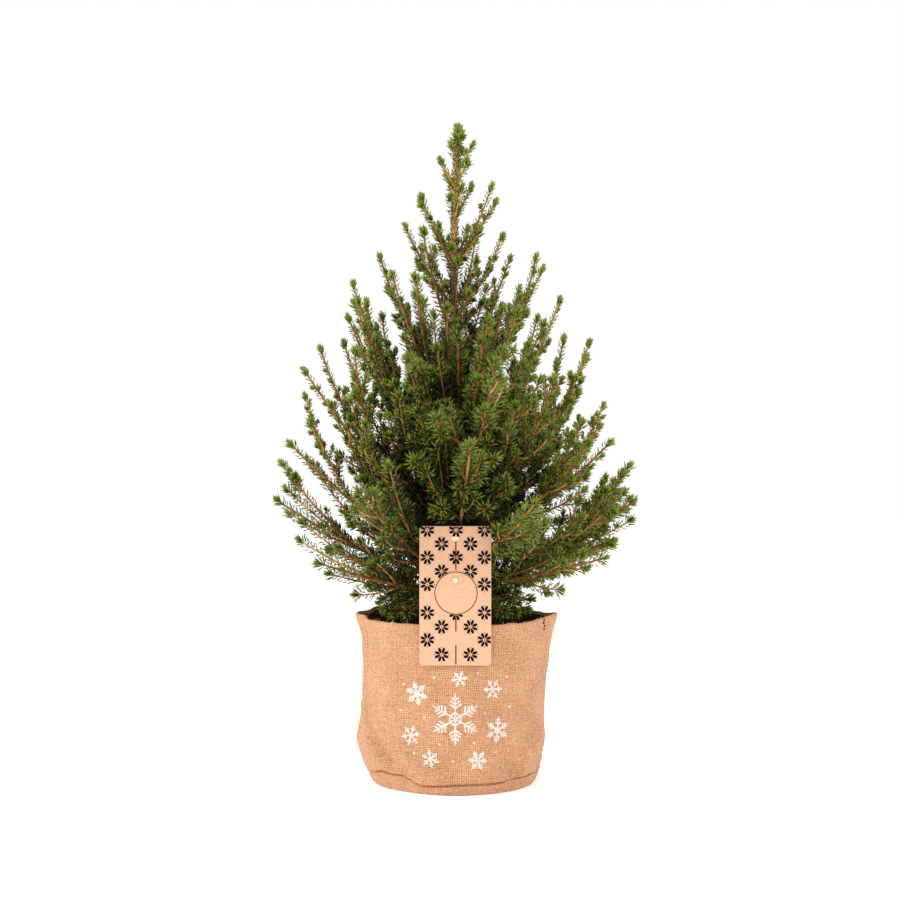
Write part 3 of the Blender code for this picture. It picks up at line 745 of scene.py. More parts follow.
# lengths, spreads and the like are given for the crown's sides, "lush" ones for its front and back
needleRule = {
    "perMetre": (960, 1250), "length": 0.0050, "lushLength": 0.0082, "lengthRange": (0.80, 1.15),
    "spread": (47.0, 62.0), "width": (0.00084, 0.00060), "bow": 0.20, "bellyAt": 0.30,
    # degrees round a lush shoot that stay bare at its outer underside, and the bare end under each tuft
    "bareSector": 96.0, "bare": 0.0020,
    "tuftLength": 0.0090, "lushTuftLength": 0.0030, "tuftFlare": -0.06, "tuftSpread": (5.0, 31.0),
    "lushTuftSpread": 44.0, "sideTuft": 0.92, "tuftBelly": 0.66, "tuftWidth": 1.16, "tuftZone": 0.0046,
    "pieceLimit": 32000,
    # kind of shoot: bare share at its foot, density, length of its needles, radius of its stem,
    # needles in its tuft
    "kinds": (
        (limbs, 0.24, 1.0, 1.0, 0.0013, 26), (leader, 0.10, 2.2, 1.15, 0.0016, 100),
        (laterals, 0.03, 1.0, 0.98, 0.0010, 24), (branchlets, 0.04, 1.0, 0.88, 0.0009, 18),
        (spurs, 0.05, 1.0, 0.64, 0.0006, 11),
    ),
}
# no needle stands further out of the solids' box than this
needleReach = np.array(cadBox) + np.array(((-0.006,), (0.006,)))


def sowNeedles(shoots, shoot, order, share, spread, size, stemRadius, bareHalf, tuft):
    # foot on the stem's skin, tip out on a cone round the shoot's way, none at the shoot's outer underside
    number = shoots["number"][shoot]
    root, way = alongCurve(shoots, share, shoot), curveWay(shoots, share, shoot)
    under = unit(root * (1, 1, 0)) - 0.35 * upward
    across = unit(under - way * (under * way).sum(1, keepdims=True))
    over = np.cross(way, across)
    turn = (order * goldenAngle / 360 + 0.15 * chance(number, order, 12)) % 1.0
    turn = np.radians(between(bareHalf, 360 - bareHalf, turn))[:, None]
    out = across * np.cos(turn) + over * np.sin(turn)
    spread = np.radians(spread)[:, None]
    heading = way * np.cos(spread) + out * np.sin(spread)
    size = size * between(*needleRule["lengthRange"], chance(number, order, 14))
    base = root + out * stemRadius * 0.6
    tip = np.clip(base + heading * size[:, None], needleReach[0], needleReach[1])
    return {"base": base, "tip": tip, "out": out, "tuft": tuft, "number": number, "order": order}


def scatterNeedles(shoots, firstShare, density, scale, stemRadius, tuftCount):
    # needles in a golden-angle spiral along each shoot, and a tuft that closes round its tip
    rule = needleRule
    length = curveLength(shoots)
    upper = np.interp(shoots["tip"][:, 2], (0.36, 0.50), (0.0, 1.0))
    lush = lushness(shoots) * (1 - 0.6 * upper)
    density = density * between(1.0, 1.25, upper)
    spacing = 1 / (density * between(*rule["perMetre"], lush))
    covered = np.maximum(length * (1 - firstShare) - rule["bare"], spacing)
    shoot, order, place = spreadPlaces(covered, spacing)
    share = between(firstShare, 1 - rule["bare"] / length[shoot], place)
    number = shoots["number"][shoot]
    spread = between(*rule["spread"], lush[shoot]) + 22 * (chance(number, order, 13) - 0.5)
    size = (rule["length"] + rule["lushLength"] * lush[shoot]) * scale
    bare = rule["bareSector"] / 2 * lush
    plain = np.zeros(len(shoot))
    along = sowNeedles(shoots, shoot, order, share, spread, size, stemRadius, bare[shoot], plain)
    counts = np.round(tuftCount * between(rule["sideTuft"], 1.0, lush)).astype(int)
    tufted, order = countOff(counts)
    number, place = shoots["number"][tufted], order / counts[tufted]
    share = 1 - rule["tuftZone"] / np.maximum(length[tufted], 0.008) * place ** 1.5
    widest = rule["tuftSpread"][1] + rule["lushTuftSpread"] * lush[tufted]
    spread = between(rule["tuftSpread"][0], widest, place) + 10 * (chance(number, order, 15) - 0.5)
    size = (rule["tuftLength"] + rule["lushTuftLength"] * lush[tufted]) * scale * (0.94 + 0.18 * place)
    closed = np.zeros(len(tufted))
    tufts = sowNeedles(shoots, tufted, order + 500, share, spread, size, stemRadius * 0.5, closed, closed + 1)
    widths = between(*rule["width"], lush)
    widths = np.concatenate((widths[shoot], widths[tufted] * rule["tuftWidth"]))
    return dict(join(along, tufts), width=widths)


# how old needles look, and the painted shade and light they carry: more score is younger and paler
ageAndShadeRule = {
    "fullDepth": 0.125, "sprayChance": 0.20, "ownChance": 0.50, "freshDepth": 0.085,
    # added at places across the crown, then at heights: painted light on the right side and high up, painted
    # shade in the middle and low down
    "across": ((-0.09, 0.06), (-0.03, -0.10), (0.03, -0.06), (0.07, 0.34), (0.13, 0.46)),
    "heights": ((0.22, -0.30), (0.28, -0.18), (0.34, 0.00), (0.40, 0.12), (0.46, 0.08)),
    "light": 0.88, "mid": 0.60, "deep": 0.32,
}


def dealAgesAndShade(needles):
    # tufts are fresh; the rest darkens with its depth under the crown's outline, spray by spray, partly real
    # older needles and partly painted shade
    rule = ageAndShadeRule
    depth = outlineDepth(needles["base"])
    own = chance(needles["number"], needles["order"], 23) - 0.5
    across = np.interp(needles["base"][:, 0], *np.array(rule["across"]).T)
    added = across + np.interp(needles["base"][:, 2], *np.array(rule["heights"]).T)
    spray = rule["sprayChance"] * (chance(needles["number"], 21) - 0.5)
    score = 0.95 + added - depth / rule["fullDepth"] + spray + rule["ownChance"] * own
    ages = ("light", "mid", "deep")
    aged = np.select([score > rule[age] for age in ages], ages, "shade")
    fresh = (needles["tuft"] > 0) & (depth < rule["freshDepth"]) & (own > -0.2)
    return np.where(fresh, "fresh", aged)


def needlePoints(needles):
    # a spindle of six faces: a foot, three corners of a belly that bows out, and a point
    rule = needleRule
    base, tip = needles["base"], needles["tip"]
    axis = tip - base
    size = np.linalg.norm(axis, axis=-1, keepdims=True)
    tuft = needles["tuft"][:, None] > 0
    bow = np.where(tuft, rule["tuftFlare"], rule["bow"])
    belly = base + axis * np.where(tuft, rule["tuftBelly"], rule["bellyAt"]) + needles["out"] * size * bow
    corners = belly[:, None] + spokesRound(axis / size, 3) * needles["width"][:, None, None]
    return np.concatenate((base[:, None], corners, tip[:, None]), axis=1)


needleFaces = np.array(((1, 2, 4), (2, 3, 4), (3, 1, 4), (2, 1, 0), (3, 2, 0), (1, 3, 0)))


def makeNeedles():
    # every kind's needles, less some deep inside and those that touch something, in pieces of one age
    needles = join(*(scatterNeedles(*kind) for kind in needleRule["kinds"]))
    tests = between(needles["base"][:, None], needles["tip"][:, None], np.array((0.2, 0.6, 1.0))[:, None])
    hiding = np.clip((outlineDepth(needles["base"]) - 0.09) / 0.08, 0, 0.3)
    hidden = chance(needles["number"], needles["order"], 24) < hiding
    needles = pick(needles, ~hitsThings(tests, label["overlap"]).any(1) & ~hidden)
    ages, points = dealAgesAndShade(needles), needlePoints(needles)
    for age, material in needleMaterials.items():
        chosen = points[ages == age]
        parts = max(1, math.ceil(len(chosen) / needleRule["pieceLimit"]))
        for part, share in enumerate(np.array_split(chosen, parts)):
            faces = [repeatFaces(needleFaces, len(share), 5)]
            makePiece(f"needles_{age}_{part}", share, faces, material)
        print(age, len(chosen), "needles")
    return len(points)


needleCount = makeNeedles()
foliageStandIn = bpy.data.objects["needles_mid_0"]
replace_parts(foliageStandIn, *[name for name in nodes if name.startswith("foliage")])
print(needleCount, "needles in all")


# Sack: jute cloth in a slack plain weave, filled with soil, gathered at two side seams

# all tables of the sack are in tenths of a millimetre, with degrees from the front
sack = {
    # height, then half-widths to the left, right, front and back
    "rows": (
        (0, 815, 795, 780, 780), (40, 840, 820, 800, 800), (160, 900, 840, 830, 825),
        (400, 985, 898, 865, 860), (560, 960, 888, 868, 862), (680, 942, 890, 870, 865),
        (1100, 922, 918, 880, 870), (1390, 900, 935, 885, 870), (1520, 912, 945, 885, 865),
        (1620, 930, 950, 885, 860),
    ),
    "smoothing": 0.014, "mouth": 0.1620, "hem": 0.0014, "lining": 0.1440, "arcRadius": 0.0880, "columns": 600,
    "cornerFrom": 0.1100, "cornerReach": 0.0058, "cornerRise": 0.0012, "cornerWidth": 10.0,
    # the crease over the base: degrees, height, strength
    "crease": (
        (-180, 120, 0.55), (-150, 95, 0.80), (-120, 130, 0.35), (-95, 150, 0.25), (-66, 135, 0.45),
        (-53, 183, 1.00), (-45, 161, 0.90), (-37, 166, 0.75), (-29, 110, 0.55), (-23, 78, 1.00),
        (3, 107, 0.90), (33, 105, 1.00), (40, 122, 0.30), (47, 118, 0.80), (68, 128, 0.85),
        (92, 150, 0.40), (125, 120, 0.75), (155, 130, 0.45), (180, 120, 0.55),
    ),
    "creaseDepth": 0.0029, "creaseWidth": 0.0009, "overhang": 0.0024, "foot": 0.0014,
    "overhangFade": 0.011, "footFade": 0.006,
    # soft folds: from and to (degrees, height), width, height of the fold
    "folds": (
        (-76, 780, -52, 240, 60, 26), (-67, 700, -44, 260, 50, -34), (-58, 460, -30, 180, 50, -22),
        (62, 620, 38, 180, 60, -32), (72, 560, 50, 180, 50, 26), (-79, 1620, -71, 1080, 50, -26),
        (-68, 1620, -61, 1120, 60, 14), (77, 1620, 71, 1160, 60, -24), (64, 1500, 58, 900, 90, 12),
        (-31, 1500, -27, 500, 180, -12), (-14, 1100, -15, 300, 140, 12), (28, 1400, 24, 400, 200, -12),
        (48, 1300, 52, 600, 90, -9), (103, 1620, 110, 1000, 60, -28), (-104, 1620, -112, 960, 70, -26),
        (140, 1500, 128, 400, 100, 16), (-140, 1400, -150, 300, 120, -22), (172, 1200, 160, 180, 80, -18),
        (-165, 700, -128, 200, 60, 18), (120, 600, 96, 160, 60, -24), (-92, 1100, -84, 400, 80, -12),
        (92, 1000, 86, 300, 80, -14),
    ),
    # size, height and seed of the lumps in the cloth and along its rim
    "lumps": ((0.036, 0.0032, 31), (0.013, 0.0008, 32), (0.004, 0.0003, 33)),
    "rimLumps": ((0.022, 0.0026, 35), (0.006, 0.0012, 36)),
    "seamRidge": 0.0012, "seamWidth": 1.3,
    # how far the rim rises: degrees, rise
    "rimRise": (
        (-180, 14), (-150, 34), (-120, 44), (-90, 8), (-45, -8), (0, -20), (45, -10), (90, 4), (135, 6),
        (180, 10),
    ),
}


def profileRow(which, height):
    # one half-width of the sack at a height, its corners rounded by a running mean
    rows = np.array(sack["rows"]) / 10000
    fine = np.linspace(-0.02, 0.19, 421)
    plain = np.interp(fine, rows[:, 0], rows[:, which])
    size = int(sack["smoothing"] / 0.0005) | 1
    soft = np.convolve(np.pad(plain, size // 2, mode="edge"), np.ones(size) / size, mode="valid")
    return np.interp(height, fine, soft)


def fromFront(bearing):
    # degrees from the front, to the right above zero
    return (np.degrees(bearing) - 270 + 180) % 360 - 180


def offSeam(bearing):
    # degrees from the nearer of the two seams, which are at the left and the right
    return np.degrees(np.arcsin(np.abs(np.sin(bearing))))


def addLumps(total, points, layers):
    # layers of smooth noise, each of its own size and height, added up and down from zero
    for size, height, seed in layers:
        total = total + height * (valueNoise(points, size, seed) - 0.5)
    return total


def sackFolds(bearing, height):
    # how far the cloth stands out: crease + folds + sag + seam, and none behind the label
    off = fromFront(bearing)
    place, rise, strength = np.array(sack["crease"]).T
    over = height - np.interp(off, place, rise / 10000)
    pinch = np.exp(-(over / sack["creaseWidth"]) ** 2)
    above = sack["overhang"] * np.exp(-np.maximum(over, 0) / sack["overhangFade"]) * (over > 0)
    below = sack["foot"] * np.exp(np.minimum(over, 0) / sack["footFade"]) * (over <= 0)
    strength = np.interp(off, place, strength)
    total = strength * ((1 - pinch) * (above + below) - sack["creaseDepth"] * pinch)
    arc = np.radians(1) * sack["arcRadius"]
    for fromOff, fromHeight, toOff, toHeight, spread, rise in sack["folds"]:
        alongArc, alongHeight = (toOff - fromOff) * arc, toHeight / 10000 - fromHeight / 10000
        x, z = ((off - fromOff + 180) % 360 - 180) * arc, height - fromHeight / 10000
        place = np.clip((x * alongArc + z * alongHeight) / (alongArc ** 2 + alongHeight ** 2), 0, 1)
        far = np.hypot(x - place * alongArc, z - place * alongHeight)
        total = total + rise / 10000 * np.exp(-(far / (spread / 10000)) ** 2)
    place = spot(np.cos(bearing) * 0.09, np.sin(bearing) * 0.09, height)
    total = addLumps(total, place, sack["lumps"])
    total = total + sack["seamRidge"] * np.exp(-(offSeam(bearing) / sack["seamWidth"]) ** 2)
    behind = np.exp(-(off / 27) ** 6) * np.clip((height - 0.108) / 0.012, 0, 1)
    return total - behind * (np.maximum(total, 0) + 0.0004)


def sackSkin(bearing, height, inset=0.0, share=1.0):
    # an oval, 1 / hypot(cos / across, sin / along), that reaches further at its two seams, moved by its folds
    inner = np.clip(height, 0, sack["mouth"])
    across = np.where(np.cos(bearing) >= 0, profileRow(2, inner), profileRow(1, inner))
    along = np.where(np.sin(bearing) >= 0, profileRow(4, inner), profileRow(3, inner))
    oval = 1 / np.hypot(np.cos(bearing) / across, np.sin(bearing) / along)
    corner = np.exp(-(offSeam(bearing) / sack["cornerWidth"]) ** 2)
    growth = np.clip((inner - sack["cornerFrom"]) / (sack["mouth"] - sack["cornerFrom"]), 0, 1)
    reach = (oval + sack["cornerReach"] * corner * growth ** 2 + sackFolds(bearing, inner) - inset) * share
    edge = spot(np.cos(bearing) * 0.09, np.sin(bearing) * 0.09, 0.3)
    wave = addLumps(0.0, edge, sack["rimLumps"])
    place, rise = np.array(sack["rimRise"]).T
    wave = wave + np.interp(fromFront(bearing), place, rise / 10000)
    lift = sack["cornerRise"] * corner * growth + wave * growth ** 2
    return spot(np.cos(bearing) * reach, np.sin(bearing) * reach, height + lift)


def clothUv(rows, columns, alongPath):
    # metres round the sack and up its cloth, for each corner of each quad, counted from the front
    column = np.arange(columns)[None, :]
    u = np.stack((column, column + 1, column + 1, column), -1) / columns * 2 * np.pi * sack["arcRadius"]
    row = np.arange(rows - 1)[:, None]
    v = alongPath[np.stack((row, row, row + 1, row + 1), -1)]
    return np.stack(np.broadcast_arrays(u, v), -1).reshape(-1, 2)


def weaveMaterial(name, look):
    # threads over and under: sin(pi u) sin(pi v) says which is on top, |sin| rounds each one, noise drawn out
    # along it makes it uneven; the higher thread gives the bump, the two together the colour, darkest in the
    # gaps (the soil behind and painted shade) and palest on the thread crowns (a painted highlight)
    material, tree, shader = newMaterial(name, look["colours"][1], 0.92, 0.15)
    shader.inputs["Sheen Weight"].default_value = 0.15
    uv = addNode(tree, "ShaderNodeUVMap", uv_map="surface").outputs["UV"]
    wander = addNoise(tree, uv, look["wanderSize"], 2.0)["Color"]
    wander = addVectorMath(tree, "SCALE", {0: wander, "Scale": look["wander"]})
    moved = addVectorMath(tree, "ADD", {0: uv, 1: wander})
    axes = addNode(tree, "ShaderNodeSeparateXYZ", {0: moved}).outputs
    turns = [addMath(tree, "MULTIPLY", axis, math.pi / pitch) for axis, pitch in zip(axes, look["pitch"])]
    waves = [addMath(tree, "SINE", turn) for turn in turns]
    cross = addMath(tree, "MULTIPLY", *waves)
    threads = []
    for wave, side, drawn in zip(waves, (0.42, -0.42), ((1.0, 0.06, 1.0), (0.06, 1.0, 1.0))):
        top = addMath(tree, "MULTIPLY_ADD", cross, side, 0.58)
        thread = addMath(tree, "MULTIPLY", addMath(tree, "ABSOLUTE", wave), top)
        slub = addNoise(tree, addVectorMath(tree, "MULTIPLY", {0: moved, 1: drawn}), look["slub"], 1.0)["Fac"]
        threads.append(addMath(tree, "MULTIPLY", thread, addMath(tree, "MULTIPLY_ADD", slub, 1.7, 0.15)))
    both = addMath(tree, "MULTIPLY_ADD", addMath(tree, "ADD", *threads), 0.5, look["fill"])
    pores = addRange(tree, addNoise(tree, uv, look["pore"], 0.0)["Fac"], (0.22, 0.33), (0.15, 1.0))
    ramp = addRamp(tree, addMath(tree, "MULTIPLY", both, pores), look["places"], look["colours"])
    patches = addRange(tree, addNoise(tree, uv, look["patch"], 3.0)["Fac"], (0.3, 0.7), (0.90, 1.06))
    specks = addRange(tree, addNoise(tree, uv, look["speck"], 5.0, 0.75)["Fac"], (0.32, 0.58), (0.72, 1.08))
    shade = addVectorMath(tree, "SCALE", {0: ramp, "Scale": addMath(tree, "MULTIPLY", patches, specks)})
    tree.links.new(shade, shader.inputs["Base Color"])
    addBump(tree, shader, addMath(tree, "MAXIMUM", *threads), 0.9, 0.0007)
    return material


# Jute: coarse unbleached threads 1.7 mm apart, uneven in thickness, with dark holes where four of them meet.
# Its darkest colour is partly painted shade between the threads, its palest a painted highlight on them.
juteLook = {
    "pitch": (0.00175, 0.00160), "wander": 0.0026, "wanderSize": 0.010, "slub": 0.0013, "fill": 0.02,
    "pore": 0.0012, "patch": 0.035, "speck": 0.0030,
    "places": (0.06, 0.30, 0.70), "colours": ("#74401E", "#C68F66", "#E5BA96"),
}
# Chalk ink: matt white that lies on the tops of the threads and leaves the holes between them bare.
chalkLook = dict(juteLook, places=(0.08, 0.24, 0.66), colours=("#B58362", "#E4D8D0", "#F2ECE8"))
# Lining: the same cloth seen inside, in dark colours that paint the shade inside the sack.
liningShadeLook = dict(juteLook, places=(0.1, 0.45, 0.9), colours=("#20130C", "#4E3321", "#7A5436"))
juteMaterial = weaveMaterial("jute_cloth", juteLook)
chalkMaterial = weaveMaterial("chalk_ink_on_jute", chalkLook)
liningShadeMaterial = weaveMaterial("jute_lining_painted_shade", liningShadeLook)


def makeSack():
    # one sheet: out along the base, up the wall, over the rim and down inside, a row of points at a time
    columns, hem = sack["columns"], sack["hem"]
    bearing = (np.radians(90) + 2 * np.pi * np.arange(columns) / columns)[None, :]
    roll = np.linspace(0, np.pi, 9)[1:]
    base, down = 14, 8
    wall = [np.linspace(*part) for part in ((0.0, 0.030, 48), (0.0318, 0.148, 50), (0.149, 0.1615, 16))]
    wall = np.concatenate(wall)
    share = np.concatenate((np.linspace(0.02, 0.985, base), np.ones(len(wall) + len(roll) + down)))
    over = sack["mouth"] + hem * np.sin(roll)
    height = np.concatenate((np.zeros(base), wall, over, np.linspace(0.1605, 0.1420, down)))
    inset = np.concatenate((np.zeros(base + len(wall)), hem * (1 - np.cos(roll)), np.full(down, 2 * hem)))
    inset[base:base + 4] += np.array((0.0012, 0.0007, 0.0003, 0.0001))
    rows = len(height)
    skin = sackSkin(bearing, height[:, None], inset[:, None], share[:, None])
    skin[:base, :, 2] = 0.0
    steps = np.hypot(np.diff(share) * 0.085 + np.diff(inset), np.diff(height))
    alongPath = np.concatenate(([0], np.cumsum(steps)))
    uv = np.concatenate((clothUv(rows, columns, alongPath), np.zeros((2 * columns, 2))))
    faces = [gridFaces(rows, columns, True), endCaps(rows, columns)]
    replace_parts(makePiece("juteSack", skin, faces, juteMaterial, uv=uv), "sack")
    # a dark second sheet down the inside, its colour painted shade
    rows = 12
    height = np.linspace(0.1600, sack["lining"], rows)[:, None]
    skin = sackSkin(bearing, height, 2 * hem + 0.0003)
    crumple = valueNoise(skin, 0.007, 41) - 0.5
    fade = np.linspace(0, 1, rows)[:, None]
    skin[..., :2] *= (1 - 0.022 * (crumple + 0.5) * fade)[..., None]
    uv = np.concatenate((clothUv(rows, columns, np.linspace(0.3, 0.316, rows)), np.zeros((columns, 2))))
    faces = [gridFaces(rows, columns, True), endCaps(rows, columns)[1:]]
    makePiece("sackLining", skin, faces, liningShadeMaterial, uv=uv)


def makeThreads(name, start, bend, tip, thickness, rings, sides, material):
    # short curved tubes, as thick at foot and tip as the pair says
    shoots = {"start": start, "bend": bend, "tip": tip}
    skin, faces = makeTubes(shoots, evenThickness(*thickness), rings, sides)
    makePiece(name, skin, faces, material)


def makeFibres():
    # loose ends along the rim, their length falling off by the fourth power of chance
    count = fibreRule["count"]
    number = np.arange(count)
    bearing = 2 * np.pi * (number + chance(number, 51)) / count
    start = sackSkin(bearing, np.full(count, sack["mouth"] + 0.0008), sack["hem"] * 2 * chance(number, 52))
    out = circle(bearing, 0 * bearing)
    side = spot(-np.sin(bearing), np.cos(bearing), 0 * bearing)
    length = between(*fibreRule["length"], chance(number, 53) ** 4)[:, None]
    lean = (chance(number, 54)[:, None] - 0.4) * 1.2
    bend = start + length * (0.6 * upward + lean * 0.5 * out)
    tip = bend + length * (0.5 * upward + lean * out + (chance(number, 55)[:, None] - 0.5) * 1.4 * side)
    material = mottledMaterial("jute_thread", threadLook)
    makeThreads("rimFibres", start, bend, tip, fibreRule["thickness"], 5, 3, material)
    # stitches that lean up across each side seam
    perSeam = fibreRule["perSeam"]
    height = np.tile(np.linspace(0.030, 0.152, perSeam), 2)
    sides = np.repeat((0.0, np.pi), perSeam)
    start = sackSkin(sides - 0.020, height, 0.0003)
    tip = sackSkin(sides + 0.020, height + 0.0022, 0.0003)
    bend = sackSkin(sides, height + 0.0011, -0.0004)
    makeThreads("seamStitches", start, bend, tip, fibreRule["stitch"], 7, 6, material)
    # the end of a dark thread, torn out beside the right corner
    bearing, height = np.array(fibreRule["torn"]).T
    bearing = np.radians(bearing)
    start = sackSkin(bearing - 0.010, height, 0.0)
    tip = sackSkin(bearing + 0.012, height + 0.0010, 0.0)
    bend = sackSkin(bearing, height + 0.0006, -0.0016)
    material = mottledMaterial("dark_thread", darkThreadLook)
    makeThreads("tornStitches", start, bend, tip, fibreRule["tornThickness"], 7, 6, material)


fibreRule = {
    "count": 300, "length": (0.0005, 0.0030), "thickness": (0.00022, 0.00010),
    "perSeam": 15, "stitch": (0.0004, 0.0004), "tornThickness": (0.0008, 0.0006),
    # bearing and height of each visible bit of the torn thread
    "torn": ((337.0, 0.1520), (338.4, 0.1550), (336.8, 0.1580), (338.0, 0.1605)),
}
# Jute thread: pale twisted fibres, dry and matt; the torn one is dyed dark brown.
threadLook = {"colours": ("#C28F62", "#DDAE84", "#EBC5A0"), "patch": 0.004, "grain": 0.0008}
threadLook.update(roughness=0.9, specular=0.15, bump=0.5, relief=0.0002)
darkThreadLook = dict(threadLook, colours=("#3A2212", "#55341E", "#6C462A"))
makeSack()
makeFibres()
print("sack made")


# Print: chalk snowflakes of plain six-armed kinds, scattered in a loose ring

printRule = {
    # across, height, size and side branches of each snowflake, then the dots, in millimetres
    "flakes": (
        (0, 74, 25, 3), (-38, 97, 12, 2), (37, 101, 10, 1), (-44, 57, 10, 1), (42, 62, 13, 2),
        (-24, 36, 9, 1), (22, 34, 10, 2), (4, 112, 8, 1),
    ),
    "dots": (
        (-20, 113), (22, 117), (-55, 80), (55, 83), (-41, 40), (40, 41), (-2, 34), (-30, 75), (29, 79),
        (-52, 105), (52, 112), (18, 51), (-15, 50),
    ),
    "stroke": 0.0011, "dot": 0.0013, "proud": 0.00022, "turn": 14,
}


def flakeStrokes():
    # six arms at 60 degrees, each with pairs of branches at 55 degrees, and a ring of six short strokes
    strokes = []
    for place, (x, z, size, branches) in enumerate(printRule["flakes"]):
        centre, size = np.array((x, z)) / 1000, size / 1000
        for arm in range(6):
            angle = math.radians(60 * arm + 90 + printRule["turn"] * place)
            way, nextWay = circle(angle), circle(angle + math.radians(60))
            strokes.append((centre, centre + way * size))
            for branch in range(branches):
                foot = centre + way * size * (0.42 + 0.44 * branch / branches + 0.1 * (branches == 1))
                reach = size * (0.30 - 0.06 * branch)
                for side in (-1, 1):
                    strokes.append((foot, foot + reach * circle(angle + side * math.radians(55))))
            if branches > 1:
                strokes.append((centre + way * size * 0.24, centre + nextWay * size * 0.24))
    return np.array(strokes)


def onSack(x, z, proud):
    # a point of the print, x metres round from the front and z up, laid on the cloth
    return sackSkin(np.radians(270) + x / sack["arcRadius"], z, -proud)


def makePrint():
    # each stroke is a low ridge, five points across; its height is 1 - 1.6 a^4, a going -1 to 1 across it
    strokes = flakeStrokes()
    count, steps = len(strokes), 22
    share = np.linspace(0, 1, steps)[None, :, None]
    line = strokes[:, None, 0] * (1 - share) + strokes[:, None, 1] * share
    way = unit(strokes[:, 1] - strokes[:, 0])
    square = spot(-way[:, 1], way[:, 0])[:, None, None]
    rough = between(0.7, 1.25, chance(np.arange(count)[:, None], np.arange(steps), 61))
    end = np.minimum(1, np.minimum(share[..., 0], 1 - share[..., 0]) * 9 + 0.25)
    width = (printRule["stroke"] * rough * end)[:, :, None, None]
    across = np.linspace(-1, 1, 5)
    flat = line[:, :, None] + square * width * across[:, None]
    proud = printRule["proud"] * (1 - 1.6 * across ** 4) * np.ones((count, steps, 1))
    skin = onSack(flat[..., 0], flat[..., 1], proud)
    quads = repeatFaces(gridFaces(steps, 5, False)[:, ::-1], count, steps * 5)
    # each dot is a smaller circle standing proud over a larger one under the cloth
    dots = np.array(printRule["dots"]) / 1000
    ring = np.linspace(0, 2 * np.pi, 13)[:12]
    rounds = dots[:, None, None] + circle(ring) * printRule["dot"] * np.array((0.55, 1.0))[:, None, None]
    proud = np.broadcast_to(np.array(((1.0,), (-0.6,))) * printRule["proud"], rounds.shape[:3])
    dotSkin = onSack(rounds[..., 0], rounds[..., 1], proud)
    dotFaces = (gridFaces(2, 12, True)[:, ::-1], np.arange(12)[None])
    dotQuads, dotCaps = (repeatFaces(some, len(dots), 24) + skin.size // 3 for some in dotFaces)
    points = np.concatenate((skin.reshape(-1, 3), dotSkin.reshape(-1, 3)))
    flat = np.concatenate((flat.reshape(-1, 2), rounds.reshape(-1, 2)))
    order = np.concatenate((quads.ravel(), dotQuads.ravel(), dotCaps.ravel()))
    makePiece("chalkPrint", points, [quads, dotQuads, dotCaps], chalkMaterial, uv=flat[order])


makePrint()
print("print made")


# Label: a kraft card with traditional eight-petal stars in black, a ring and a line

labelRule = {
    "starRadius": 0.0071, "starHollow": 0.0013, "petalWidth": 0.0027,
    "outer": (-0.02640, 0.02755),
    "outerHeights": (0.25250, 0.22680, 0.20140, 0.17470, 0.14910),
    "inner": (-0.01290, 0.01430),
    "innerHeights": (0.23950, 0.21360, 0.16140, 0.13520),
    "centre": (0.00065,),
    "centreHeights": (0.25250, 0.22680, 0.17400),
    "ringCentre": 0.1932, "ringRadius": 0.0199, "ringWidth": 0.0008, "ringGap": 0.0006,
    "lines": ((0.2150, 0.2415), (0.1570, 0.1700), (0.1260, 0.1440)), "lineWidth": 0.0008,
    "dot": 0.00052, "inkProud": 0.00008, "margin": 0.0004,
}


def starPetals(centres, angles):
    # leaf outlines of twelve points: along = (1 - cos t) / 2, across = sin t made blunter
    turn = np.linspace(0, 2 * np.pi, 13)[:12]
    along = between(labelRule["starHollow"], labelRule["starRadius"], (1 - np.cos(turn)) / 2)
    blunt = np.sign(np.sin(turn)) * np.abs(np.sin(turn)) ** 1.35
    across = labelRule["petalWidth"] / 2 * blunt * (1 - 0.25 * np.cos(turn))
    way = circle(angles)
    square = spot(-way[:, 1], way[:, 0])
    petal = way[:, None] * along[:, None] + square[:, None] * across[:, None]
    return (centres[:, None, None] + petal).reshape(-1, 12, 2)


def makeInk(name, outlines, material):
    # flat outlines given a front just before the card and a back just inside it
    count, corners = outlines.shape[:2]
    front = label["low"].y - labelRule["inkProud"]
    side = label["high"].x - labelRule["margin"]
    x = np.clip(outlines[:, None, :, 0], -side, side)
    z = np.minimum(outlines[:, None, :, 1], label["high"].z - labelRule["margin"])
    points = spot(x, np.array(((front,), (front + 2 * labelRule["inkProud"],))), z)
    sides = repeatFaces(gridFaces(2, corners, True)[:, ::-1], count, 2 * corners)
    caps = repeatFaces(endCaps(2, corners)[:, ::-1], count, 2 * corners)
    return makePiece(name, points, [sides, caps], material, smooth=False)


def makeRing(name, material):
    # a flat hoop: a square section carried round a circle
    half, deep = labelRule["ringWidth"] / 2, 2 * labelRule["inkProud"]
    section = np.array(((-half, 0), (half, 0), (half, deep), (-half, deep)))
    hoop = circle(np.linspace(0, 2 * np.pi, 121)[:120]) * (labelRule["ringRadius"] + section[:, None, :1])
    y = label["low"].y - labelRule["inkProud"] + section[:, 1:]
    points = spot(labelRule["centre"][0] + hoop[..., 0], y, labelRule["ringCentre"] + hoop[..., 1])
    return makePiece(name, points, [gridFaces(4, 120, True, True)], material)


